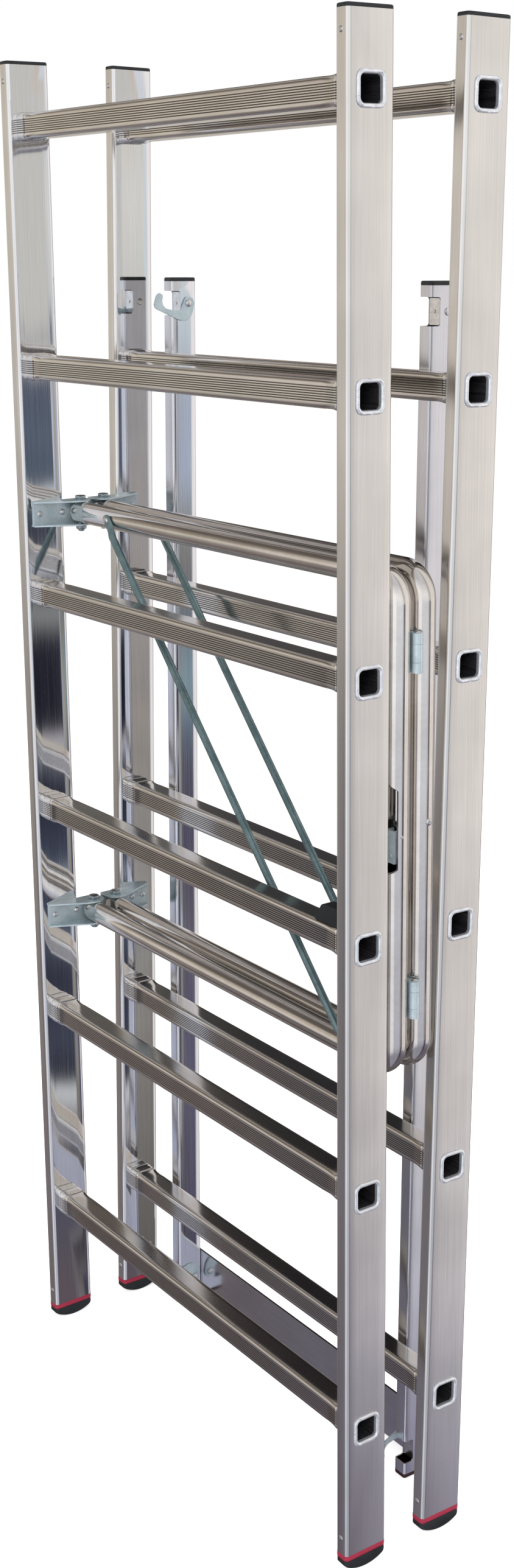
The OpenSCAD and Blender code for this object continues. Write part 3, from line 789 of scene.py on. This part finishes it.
    def caps(self) -> None:
        """Make the moulded top caps, with rounded top edges and a seating lip."""
        top = self.stile_top
        levels = [(2.0, top - 4.0), (1.9, top + 0.02), (0.12, top + 0.03), (0.0, top + 0.35),
                  (0.0, top + self.cap_h - 1.7),
                  (0.28, top + self.cap_h - 0.85), (0.85, top + self.cap_h - 0.28), (1.7, top + self.cap_h),
                  (4.0, top + self.cap_h)]
        blocks = [self.loft_levels(s.value * (self.half_w - self.stile_t / 2), levels, self.stile_t,
                                   self.stile_d, 5.0) for s in Side]
        piece = new_piece(f"{self.prefix}_caps_moulded", together(blocks), self.placing, self.body, BLACK)
        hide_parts(f"{self.prefix}_top_caps")

    def feet(self) -> None:
        """Make the coloured bands and the rounded soles.

        The sole's underside is z = R - sqrt(R^2 - (y - m)^2), rounded from front to
        back about the middle depth m, and its rim is eased by the ring insets.
        """
        low, high = self.foot_h - self.band_h, self.foot_h
        band = [(2.0, low), (0.5, low), (0.0, low + 0.5), (-0.3, low + 1.4), (-0.3, high - 1.0),
                (0.0, high - 0.35), (0.35, high - 0.02), (2.2, high)]
        bands, soles = [], []
        for side in Side:
            x = side.value * (self.half_w - self.stile_t / 2)
            bands.append(self.loft_levels(x, band, self.stile_t, self.stile_d, 5.0))
            rings = []
            for inset, z in [(2.0, low + 0.02), (0.2, low), (0.1, low - 0.4)]:
                flat = rounded_outline(self.stile_t - 2 * inset, self.stile_d - 2 * inset, 5.0 - inset, 14,
                                       9)
                rings.append(np.stack([flat[:, 0], flat[:, 1], np.full(len(flat), z)], -1))
            for inset, lift in [(0.0, 1.3), (0.25, 0.55), (0.8, 0.12), (1.6, 0.0), (3.2, 0.0), (5.5, 0.0),
                                (8.2, 0.0)]:
                flat = rounded_outline(self.stile_t - 2 * inset, self.stile_d - 2 * inset,
                                       max(5.0 - inset, 0.6), 14, 9)
                under = self.sole_r - np.sqrt(self.sole_r**2 - flat[:, 1] ** 2) + lift
                rings.append(np.stack([flat[:, 0], flat[:, 1], under], -1))
            soles.append(lofted(np.array(rings) + np.array([x, self.mid_y, 0.0])))
        piece = new_piece(f"{self.prefix}_foot_bands_moulded", together(bands), self.placing, self.body,
                          CRIMSON)
        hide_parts(f"{self.prefix}_foot_bands")
        piece = new_piece(f"{self.prefix}_soles_moulded", together(soles), self.placing, self.body, SOLE,
                          60.0)
        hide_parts(f"{self.prefix}_soles")

    def end_rivets(self) -> None:
        """Make the small rivets that hold the caps and feet, on the stiles' front faces."""
        heads = [
            domed_head(3.0, 1.1, (s.value * (self.half_w - self.stile_t / 2), -0.02, z), (0, -1, 0), 0.9)
            for s in Side for z in (self.foot_h + 20.0, self.stile_top - 19.0)
        ]
        piece = new_piece(f"{self.prefix}_end_rivets_domed", together(heads), self.placing, self.body,
                          RIVET)
        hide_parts(f"{self.prefix}_end_rivets")


# ---------------------------------------------------------------- brace


@dataclass
class Brace:
    """The folding brace: brackets, bolts, tube frames, rods, hinges and latch."""

    inner_x: float = 315.0
    pivot_x: float = -298.0
    near_y: float = 71.0
    far_y: float = 104.0
    tube_d: float = 27.0
    low: float = 587.5
    high: float = 1113.5
    tube_x: float = 325.0
    rod_d: float = 9.0
    lug: float = 13.7
    sheet: float = 2.0
    hinge_x: float = 337.0
    hinge_levels: tuple[float, float] = (664.5, 1036.5)
    hinge_len: float = 41.0
    pin_r: float = 2.5
    latch_z: float = 846.5
    latch_y: float = 68.5

    def build(self) -> None:
        """Make and dress every piece of the brace."""
        for ladder in ("near", "far"):
            for level in ("upper", "lower"):
                eased_copy(f"{ladder}_{level}_bracket", f"{ladder}_ladder", ZINC, 0.45)
            eased_copy(f"{ladder}_brace_tube", f"{ladder}_brace", TUBE, 0.3, 25.0)
            eased_copy(f"{ladder}_hinge_leaves", f"{ladder}_brace", ZINC, 0.25, 32.0)
        eased_copy("brace_latch", "latch", ZINC, 0.25)
        eased_copy("brace_rest_clip", "near_ladder", BLACK, 0.5)
        self.bolts()
        self.bracket_rivets()
        self.rods()
        self.pins()

    def bolts(self) -> None:
        """Make the pivot bolts with washers, chamfered heads and threaded ends, and the locking nuts."""
        for name, y in (("near", self.near_y), ("far", self.far_y)):
            bolts, nuts = [], []
            for z in (self.low, self.high):
                top, bottom = z + self.lug + self.sheet, z - self.lug - self.sheet
                at = (self.pivot_x, y)
                bolts += [
                    turned([(7.2, -0.1), (7.4, 0.2), (7.4, 0.9), (7.0, 1.1)], (*at, top), (0, 0, 1)),
                    hexagon(13.0, 4.2, (*at, top + 1.0), (0, 0, 1)),
                    turned(self.threaded(8.0, 2 * (self.lug + self.sheet) + 8.0), (*at, bottom - 8.0),
                           (0, 0, 1)),
                ]
                nuts.append(hexagon(13.0, 5.0, (*at, bottom), (0, 0, -1), 1.4))
            piece = new_piece(f"{name}_pivot_bolts_chamfered", together(bolts), NEAR, f"{name}_ladder",
                              BOLT)
            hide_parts(f"{name}_pivot_bolts")
            piece = new_piece(f"{name}_pivot_nuts_chamfered", together(nuts), NEAR, f"{name}_ladder", BOLT)
            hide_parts(f"{name}_pivot_nuts")

    def threaded(self, thread: float, length: float) -> list[tuple[float, float]]:
        """Profile of a shank with turned thread grooves of 1.25 mm pitch at its free end.

        Args:
            thread: length of the grooved end.
            length: whole length.

        Returns:
            (radius, height) pairs from the free end.
        """
        groove = [(3.85 - 0.45 * (k % 2), 0.4 + 0.62 * k) for k in range(int(thread / 0.62) - 1)]
        return [(2.6, 0.0), (3.3, 0.3)] + groove + [(3.95, thread), (3.95, length)]

    def bracket_rivets(self) -> None:
        """Make the round rivets through the brackets' webs."""
        for name, depths in (("near", (21.0, 53.0)), ("far", (155.0, 139.0))):
            heads = [domed_head(3.7, 2.2, (self.sheet - self.inner_x, y, z), (1, 0, 0),
                                1.3) for y in depths for z in (self.low, self.high)]
            piece = new_piece(f"{name}_bracket_rivets_domed", together(heads), NEAR, f"{name}_ladder",
                              RIVET)
            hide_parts(f"{name}_bracket_rivets")

    def rods(self) -> None:
        """Make the diagonal rods and the rivets through their flattened ends."""
        start, end = np.array([self.pivot_x + 88.0, self.high]), np.array([self.tube_x - 53.0, self.low])
        for name, y, side in (("near", self.near_y, -1), ("far", self.far_y, 1)):
            shell = self.rod_shell(start, end, y + side * self.tube_d / 2, side)
            piece = new_piece(f"{name}_rod_pressed", shell, NEAR, f"{name}_brace", ROD, 60.0)
            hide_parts(f"{name}_brace_rod")
            heads = [domed_head(4.6, 2.3, (p[0], y + side * (self.tube_d / 2 + 3.0), p[1]), (0, side, 0),
                                1.4) for p in (start, end)]
            piece = new_piece(f"{name}_rod_rivets_domed", together(heads), NEAR, f"{name}_brace", RIVET)
            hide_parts(f"{name}_rod_rivets")

    def rod_shell(self, start: np.ndarray, end: np.ndarray, seat: float, side: int) -> Shell:
        """A round rod with both ends pressed flat against the tube.

        At distance s along the rod the section is |a / A|^n + |b / B|^n = 1. A grows
        from the rod's radius to the paddle's, B shrinks to half its thickness and n
        goes from 2 to 4, each by a smooth step over the neck, and A closes as a half
        circle past the rivet.

        Args:
            start: X and Z of the first rivet.
            end: X and Z of the second rivet.
            seat: Y of the tube's surface.
            side: -1 for a rod in front of the tube, 1 behind it.

        Returns:
            The closed shell.
        """
        length = float(np.hypot(*(end - start)))
        tip = 7.0 * np.sin(np.linspace(-np.pi / 2, 0, 9)[1:-1])
        half = np.concatenate([[-6.999], tip, np.linspace(0, 34, 18)])
        s = np.concatenate([half, length - half[::-1]])
        near_end = np.minimum(s, length - s)
        t = np.clip((near_end - 9.0) / 17.0, 0, 1)
        t = t * t * (3 - 2 * t)
        wide = np.where(near_end < 0, np.sqrt(np.maximum(49.0 - near_end**2, 0.01)),
                        7.0 * (1 - t) + self.rod_d / 2 * t)
        thick = 1.5 * (1 - t) + self.rod_d / 2 * t
        power = 2 / (4.0 * (1 - t) + 2.0 * t)
        a = np.linspace(0, 2 * np.pi, 32, endpoint=False)
        across = np.sign(np.cos(a)) * np.abs(np.cos(a)) ** power[:, None] * wide[:, None]
        deep = np.sign(np.sin(a)) * np.abs(np.sin(a)) ** power[:, None] * thick[:, None]
        along = (end - start) / length
        normal = np.array([along[1], -along[0]])
        x = start[0] + s[:, None] * along[0] + across * normal[0]
        z = start[1] + s[:, None] * along[1] + across * normal[1]
        y = seat + side * (thick[:, None] + 0.02) + deep
        return lofted(np.stack([x, y, z], -1))

    def pins(self) -> None:
        """Make the hinge pins, the latch pin and the far tube's stop rivet."""
        y = (self.near_y + self.far_y) / 2
        pins = [
            turned([(2.6, -1.2), (3.3, -0.9), (3.3, -0.1), (self.pin_r - 0.02, 0.0),
                    (self.pin_r - 0.02, self.hinge_len),
                    (3.3, self.hinge_len + 0.1), (3.3, self.hinge_len + 0.9), (2.6, self.hinge_len + 1.2)],
                   (self.hinge_x, y, z - self.hinge_len / 2), (0, 0, 1))
            for z in self.hinge_levels
        ]
        piece = new_piece("hinge_pins_peened", together(pins), NEAR, "near_brace", RIVET)
        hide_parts("hinge_pins")
        pin = turned([(1.2, -12.5), (1.95, -12.1), (1.95, 12.1), (1.2, 12.5)],
                     (self.tube_x, self.latch_y, self.latch_z), (1, 0, 0))
        piece = new_piece("latch_pin_peened", pin, NEAR, "near_brace", RIVET)
        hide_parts("latch_pin")
        head = domed_head(4.0, 1.8, (self.tube_x + 13.4, self.far_y, self.latch_z + 10.0), (1, 0, 0), 1.2)
        piece = new_piece("far_stop_rivet_domed", head, NEAR, "far_brace", RIVET)
        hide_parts("far_latch_rivet")


# ---------------------------------------------------------------- bridging frame


@dataclass
class BridgingFrame:
    """The hook-on frame behind the far ladder: rails, bar, caps, hooks and fixings."""

    width: float = 510.0
    height: float = 1397.0
    rail_t: float = 19.0
    rail_d: float = BRIDGE_RAIL_D
    hook_y: float = 23.0
    hook_t: float = 2.5
    bar_low: float = 4.0

    def build(self) -> None:
        """Make and dress every piece of the bridging frame."""
        for side in ("left", "right"):
            eased_copy(f"bridge_{side}_rail", "bridging_frame", RAIL, 0.25)
            for level in ("top", "low"):
                eased_copy(f"hook_{level}_{side}", f"{level}_{side}_hook", ZINC, 0.6, 28.0)
        eased_copy("bridge_cross_bar", "bridging_frame", BAR, 0.5)
        eased_copy("notch_liners", "bridging_frame", RIVET, 0.2)
        self.caps()
        self.fixings()

    def block(self, x: float, levels: list[tuple[float, float]]) -> Shell:
        """A block with the rail's outline, pulled in by a given amount at each level.

        Args:
            x: left side of the rail.
            levels: (inset, height) pairs, from the bottom up.

        Returns:
            The closed shell.
        """
        rings = []
        for inset, z in levels:
            flat = rounded_outline(self.rail_t - 2 * inset, self.rail_d - 2 * inset, max(3.5 - inset, 0.4),
                                   5, 8)
            rings.append(np.stack([flat[:, 0] + x + self.rail_t / 2, flat[:, 1] + self.rail_d / 2,
                                   np.full(len(flat), z)], -1))
        return lofted(np.array(rings))

    def caps(self) -> None:
        """Make the moulded caps at the top and bottom of the rails."""
        top = self.height - 4.5
        upper = [(1.8, top - 3.0), (1.7, top + 0.02), (0.1, top + 0.03), (0.0, top + 0.4),
                 (0.0, self.height - 1.7),
                 (0.3, self.height - 0.8), (0.9, self.height - 0.25), (1.8, self.height),
                 (4.0, self.height)]
        lower = [(4.0, 0.0), (2.0, 0.0), (1.1, 0.25), (0.4, 0.9), (0.0, 2.0), (0.0, 5.6), (0.1, 5.97),
                 (1.7, 5.98), (1.8, 9.0)]
        for name, levels, finish in (("top", upper, BLACK), ("low", lower, DARK_RED)):
            blocks = [self.block(x, levels) for x in (0.0, self.width - self.rail_t)]
            piece = new_piece(f"bridge_{name}_caps_moulded", together(blocks), BRIDGE, "bridging_frame",
                              finish)
            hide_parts(f"bridge_{name}_caps")

    def fixings(self) -> None:
        """Make the bar rivets and the shouldered rivets that the hooks turn on."""
        heads = [
            domed_head(4.0, 1.8, (x + self.rail_t / 2, self.rail_d + 2.98, self.bar_low + up), (0, 1, 0),
                       1.3)
            for x in (0.0, self.width - self.rail_t) for up in (36.0, 56.0)
        ]
        piece = new_piece("bridge_bar_rivets_domed", together(heads), BRIDGE, "bridging_frame", RIVET)
        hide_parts("bridge_bar_rivets")
        pivots = []
        reach = self.rail_t + self.hook_t + 0.6
        for z in (35.0, self.height - 31.0):
            for x, way in ((0.0, 1.0), (self.width, -1.0)):
                profile = [(2.0, -1.4), (3.6, -1.2), (4.2, -0.4), (4.2, 0.0), (2.48, 0.01), (2.48, reach),
                           (4.4, reach + 0.02),
                           (4.4, reach + 0.5), (3.9, reach + 1.3), (2.6, reach + 1.9), (1.0, reach + 2.0)]
                pivots.append(turned(profile, (x, self.hook_y, z), (way, 0, 0)))
        piece = new_piece("hook_rivets_shouldered", together(pivots), BRIDGE, "bridging_frame", RIVET)
        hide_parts("hook_rivets")


# ---------------------------------------------------------------- studio


@dataclass(frozen=True)
class Zone:
    """A range of azimuths of the room, with its colours by elevation, in degrees."""

    start: float
    end: float
    soft: float
    stops: tuple[tuple[float, str], ...]


ZONES = (
    # the room as a whole: pale above, dim below
    Zone(-180, 180, 1.0, ((-45, "#5d5a5f"), (-20, "#8a868a"), (-4, "#b3b0b0"), (3, "#d6d3d0"),
                          (18, "#bab4ae"), (45, "#8f8882"))),
    # ahead and to the left: a beige screen that darkens to the floor and to the ceiling
    Zone(-164, -144, 1.6, ((-40, "#433e41"), (-31, "#6b6466"), (-25, "#7f7676"), (-18, "#8f8883"),
                           (-11, "#9c9792"), (-4, "#c0beb6"),
                           (4, "#cfc7b9"), (12, "#a0988d"), (24, "#6a645e"), (45, "#4e4a46"))),
    # the same screen nearer the camera, pale above and lilac low down
    Zone(-144, -100, 1.2, ((-45, "#5f5c66"), (-36, "#767180"), (-30, "#6e6b74"), (-22, "#6c6b70"),
                           (-16.5, "#65646a"), (-12.5, "#74716f"), (-9.5, "#b3aba4"),
                           (-6, "#cfc7bf"), (0, "#dad3cc"), (8, "#c4bbb0"), (30, "#a8a49c"))),
    # beside the camera: a tall white softbox and its pale blue surround
    Zone(-84, 14, 8.0, ((-45, "#9294a2"), (-30, "#b4b7c5"), (-12, "#d8dce5"), (0, "#eef0f4"),
                        (12, "#f6f7f8"), (45, "#cfd0d4"))),
    Zone(-80, -46, 3.0, ((-45, "#9698a2"), (-32, "#e4e6ec"), (-8, "#ffffff"), (14, "#ffffff"),
                         (30, "#e4e6ec"), (45, "#c5c6ca"))),
    # behind and to the left: a dark opening under a brown ceiling edge, dimmer to its right
    Zone(110, 164, 2.0, ((-31, "#5e5a55"), (-24, "#9a948a"), (-20.6, "#a8a294"), (-19.8, "#f4f8fc"),
                         (-19, "#a8a294"), (-13, "#b0a798"),
                         (-6, "#bab3ac"), (-2, "#c5c3c0"), (3, "#94867c"), (7, "#6d6a66"), (12, "#5f5f60"),
                         (18, "#6a6964"), (24, "#565552"),
                         (29, "#6a625e"), (34, "#4b4646"), (45, "#504c4a"))),
    Zone(110, 147, 2.5, ((-31, "#5e5a55"), (-20, "#a8a294"), (-6, "#b8b1aa"), (-2, "#c5c3c0"),
                         (3, "#94867c"), (7, "#5b5a5a"), (12, "#434144"), (18, "#36373a"), (24, "#29292b"),
                         (31, "#1b171b"), (45, "#3a3738"))),
    # to the right: the large pale panel, over a lilac floor
    Zone(34.6, 80, 0.8, ((-45, "#6d6672"), (-38, "#837e92"), (-35, "#8d8a9d"), (-33.2, "#9a98ac"),
                         (-32.2, "#cfcdd3"), (-30.5, "#cdccd2"),
                         (-27, "#dedad9"), (-20, "#e6e1de"), (-8, "#efe9e6"), (8, "#efeae6"),
                         (45, "#e2dfdc"))),
    # dark doorway with small lamps and pale edges
    Zone(20, 29.9, 0.2, ((-40, "#4c4347"), (-30, "#5e545a"), (-27.4, "#4b4f5c"), (-26.9, "#7d8089"),
                         (-26.4, "#2c2e3c"), (-25.5, "#c4bdba"),
                         (-25.2, "#20242f"), (-24.75, "#f4f5f6"), (-24.3, "#20202c"), (-23.2, "#3f4352"),
                         (-21.3, "#30303d"),
                         (-20.0, "#4f5664"), (-18.6, "#2c303e"), (-18.25, "#9aa0a8"), (-17.9, "#3c4152"),
                         (-15.6, "#20212d"),
                         (-14.8, "#5f626d"), (-14.5, "#d4d0d2"), (-14.1, "#1d1d29"), (-11.4, "#20202c"),
                         (-10.6, "#8c8d8b"),
                         (-9.6, "#24242f"), (-9.1, "#d4d6da"), (-8.6, "#2a2c38"), (-7.3, "#414753"),
                         (-7.0, "#eef0f2"),
                         (-6.7, "#47505f"), (-5.4, "#55606f"), (-3.6, "#4b5060"), (-3.1, "#f2f0f0"),
                         (-2.7, "#9a9b9c"), (-2.0, "#c6c3bd"))),
    # olive wall beside the doorway, with a pale blue window strip low down
    Zone(29.9, 32.3, 0.25, ((-40, "#433b3d"), (-31, "#7c7674"), (-28.8, "#37323a"), (-27.8, "#4e4a48"),
                            (-25.4, "#726c63"), (-24, "#87837a"),
                            (-20.6, "#8d8878"), (-20.0, "#d9e4ee"), (-19.4, "#8d8a7e"), (-17, "#918d80"),
                            (-13, "#9c9688"), (-10.8, "#77796f"),
                            (-8, "#9b968e"), (-3.4, "#aca59c"), (-2.4, "#4c5058"), (-1.6, "#c9c7c0"),
                            (1.5, "#d8d5ce"), (8, "#b3a394"))),
    # lavender edge of the doorway
    Zone(29.9, 30.6, 0.1, ((-40, "#433b3d"), (-26, "#6d6a70"), (-18, "#8d8f9c"), (-10, "#aab0c2"),
                           (-5, "#c6ccdb"), (-3.4, "#b9bdc8"), (8, "#cbc8bf"))),
    # violet curtain behind a blue-grey window
    Zone(32.3, 34.6, 0.25, ((-40, "#57535f"), (-30, "#3c3a49"), (-28.2, "#524f60"), (-23, "#55526a"),
                            (-20, "#5a5460"), (-17.5, "#474459"),
                            (-15.4, "#4c4b5c"), (-14, "#5d6876"), (-12.6, "#7f97a0"), (-10.2, "#6b6b70"),
                            (-8.3, "#86857f"), (-6.5, "#a7b1c2"),
                            (-4.4, "#a4acba"), (-2, "#c9d2d4"), (8, "#d8d8dd"))),
)


@dataclass
class Studio:
    """Floor, backdrop, soft lights and camera."""

    film: float = 36.0
    lens: float = 44.07
    shift: tuple[float, float] = (-0.00043, -0.03335)
    camera_at: tuple[float, float, float] = (1786.6, -1130.8, 1435.1)
    azimuth: float = 54.836
    elevation: float = 14.233
    roll: float = -0.63

    def build(self) -> None:
        """Make the camera, the floor, the backdrop and the lights."""
        self.camera()
        self.floor()
        self.world()
        self.lights()

    def camera(self) -> None:
        """Place the camera at its height and distance, turned by its three angles."""
        a, e, r = (math.radians(v) for v in (self.azimuth, self.elevation, self.roll))
        back = Vector((math.sin(a) * math.cos(e), -math.cos(a) * math.cos(e), math.sin(e)))
        right = Vector((math.cos(a), math.sin(a), 0.0))
        up = back.cross(right)
        right, up = math.cos(r) * right + math.sin(r) * up, math.cos(r) * up - math.sin(r) * right
        data = bpy.data.cameras.new("camera")
        data.sensor_width, data.lens = self.film, self.lens
        data.shift_x, data.shift_y = self.shift
        data.clip_start, data.clip_end = 0.05, 200.0
        camera = bpy.data.objects.new("camera", data)
        turn = Matrix((right, up, back)).transposed().to_4x4()
        x, y, z = self.camera_at
        camera.matrix_world = Matrix.Translation(Vector((x, y + FRONT, z)) * MM) @ turn
        bpy.context.scene.collection.objects.link(camera)
        bpy.context.scene.camera = camera

    def floor(self) -> None:
        """Make the pale floor, a flat disc of concentric rings."""
        t = np.linspace(0, 2 * math.pi, 64, endpoint=False)
        r = np.array([0.01, 2.0, 6.0, 20.0, 60.0])
        points = np.stack([r[:, None] * np.cos(t), r[:, None] * np.sin(t), np.full((5, 64), -0.0004)], -1)
        index = np.arange(320).reshape(5, 64)
        nxt = np.roll(index, -1, axis=1)
        faces = np.stack([index[:-1], index[1:], nxt[1:], nxt[:-1]], -1).reshape(-1, 4).tolist()
        mesh = bpy.data.meshes.new("floor")
        mesh.from_pydata(points.reshape(-1, 3).tolist(), [], faces + [index[0].tolist()])
        mesh.update()
        floor = bpy.data.objects.new("floor", mesh)
        bpy.context.scene.collection.objects.link(floor)
        material = bpy.data.materials.new("Matt white studio floor")
        material.use_nodes = True
        shader = material.node_tree.nodes["Principled BSDF"]
        shader.inputs["Base Color"].default_value = linear("#f7f7f7")
        shader.inputs["Roughness"].default_value = 0.9
        shader.inputs["Specular IOR Level"].default_value = 0.1
        shader.inputs["Emission Color"].default_value = linear("#ffffff")
        shader.inputs["Emission Strength"].default_value = 0.6
        mesh.materials.append(material)
        floor.visible_glossy = False

    def world(self) -> None:
        """Surround the trestle with the room's soft panels and dark gaps.

        Each zone covers a range of azimuths and has its own colours by elevation,
        both in degrees. Azimuth is atan2(y, x) and elevation is asin(z) of the
        direction. The camera itself sees a plain white backdrop.
        """
        world = bpy.data.worlds.new("studio")
        bpy.context.scene.world = world
        world.use_nodes = True
        tree = world.node_tree
        tree.nodes.clear()
        out = tree.nodes.new("ShaderNodeOutputWorld")
        ray = add_node(tree, "ShaderNodeTexCoord").outputs["Generated"]
        x, y, z = add_node(tree, "ShaderNodeSeparateXYZ", Vector=ray).outputs
        turn = add_node(tree, "ShaderNodeMath", {"operation": "ARCTAN2"}, i0=y, i1=x).outputs[0]
        azimuth = add_node(tree, "ShaderNodeMath", {"operation": "DEGREES"}, i0=turn).outputs[0]
        tilt = add_node(tree, "ShaderNodeMath", {"operation": "ARCSINE"}, i0=z).outputs[0]
        level = add_node(tree, "ShaderNodeMath", {"operation": "DEGREES"}, i0=tilt).outputs[0]
        spread = add_node(tree, "ShaderNodeCombineXYZ", X=azimuth,
                          Y=add_node(tree, "ShaderNodeMath", {"operation": "MULTIPLY"}, i0=level,
                                     i1=0.25).outputs[0])
        wave = add_node(tree, "ShaderNodeTexNoise", Vector=spread.outputs[0], Scale=1.1,
                        Detail=2.0).outputs["Fac"]
        sway = add_node(tree, "ShaderNodeMath", {"operation": "MULTIPLY_ADD"}, i0=wave, i1=1.3,
                        i2=-0.65).outputs[0]
        level = add_node(tree, "ShaderNodeMath", {"operation": "ADD"}, i0=level, i1=sway).outputs[0]
        colour = None
        for zone in ZONES:
            shade = self.ramp(tree, level, zone.stops)
            if colour is None:
                colour = shade
                continue
            enter = add_node(tree, "ShaderNodeMapRange", Value=azimuth, From_Min=zone.start - zone.soft,
                             From_Max=zone.start + zone.soft).outputs[0]
            leave = add_node(tree, "ShaderNodeMapRange", Value=azimuth, From_Min=zone.end + zone.soft,
                             From_Max=zone.end - zone.soft).outputs[0]
            mask = add_node(tree, "ShaderNodeMath", {"operation": "MULTIPLY"}, i0=enter,
                            i1=leave).outputs[0]
            colour = add_node(tree, "ShaderNodeMix", {"data_type": "RGBA"}, i0=mask, i6=colour,
                              i7=shade).outputs[2]
        room = add_node(tree, "ShaderNodeBackground", Color=colour, Strength=1.12)
        backdrop = add_node(tree, "ShaderNodeBackground", Color=linear("#ffffff"), Strength=1.0)
        seen = add_node(tree, "ShaderNodeLightPath").outputs["Is Camera Ray"]
        mix = add_node(tree, "ShaderNodeMixShader", Fac=seen, i1=room.outputs[0], i2=backdrop.outputs[0])
        tree.links.new(mix.outputs[0], out.inputs[0])

    def ramp(self, tree: bpy.types.NodeTree, level: bpy.types.NodeSocket,
             stops: tuple) -> bpy.types.NodeSocket:
        """Colour by elevation, from -45 to 45 degrees.

        Args:
            tree: the node tree.
            level: elevation in degrees.
            stops: (elevation, colour) pairs from low to high.

        Returns:
            The colour.
        """
        share = add_node(tree, "ShaderNodeMapRange", Value=level, From_Min=-45.0, From_Max=45.0).outputs[0]
        ramp = add_node(tree, "ShaderNodeValToRGB", Fac=share)
        elements = ramp.color_ramp.elements
        places = [(degrees + 45.0) / 90.0 for degrees, _ in stops]
        elements[0].position, elements[0].color = places[0], linear(stops[0][1])
        elements[1].position, elements[1].color = places[-1], linear(stops[-1][1])
        for place, (_, colour) in list(zip(places, stops))[1:-1]:
            stop = elements.new(place)
            stop.color = linear(colour)
        return ramp.outputs[0]

    def lights(self) -> None:
        """Make the soft panel lights."""
        panels = [  # name, position, aim, width, height, power
            ("key", (3.2, -2.4, 3.4), (0.1, 0.0, 0.9), 2.4, 2.4, 90.0),
            ("fill", (-3.4, -3.0, 2.4), (0.0, 0.0, 0.8), 2.6, 2.6, 60.0),
            ("top", (0.2, 0.4, 4.2), (0.0, 0.0, 0.5), 3.0, 3.0, 70.0),
        ]
        for name, at, aim, width, height, power in panels:
            data = bpy.data.lights.new(name, "AREA")
            data.shape, data.size, data.size_y, data.energy = "RECTANGLE", width, height, power
            lamp = bpy.data.objects.new(name, data)
            lamp.location = at
            lamp.visible_glossy = False
            lamp.rotation_euler = (Vector(aim) - Vector(at)).to_track_quat("-Z", "Y").to_euler()
            bpy.context.scene.collection.objects.link(lamp)


def main() -> None:
    """Build the studio and the trestle in order."""
    logging.basicConfig(level=logging.INFO, format="%(message)s")
    bpy.context.scene.view_settings.view_transform = "Standard"
    Studio().build()
    for part in (LadderFrame("near", "near_ladder", NEAR), LadderFrame("far", "far_ladder", FAR), Brace(),
                 BridgingFrame()):
        part.build()
        LOG.info("%s built", type(part).__name__)


if __name__ == "__main__":
    main()
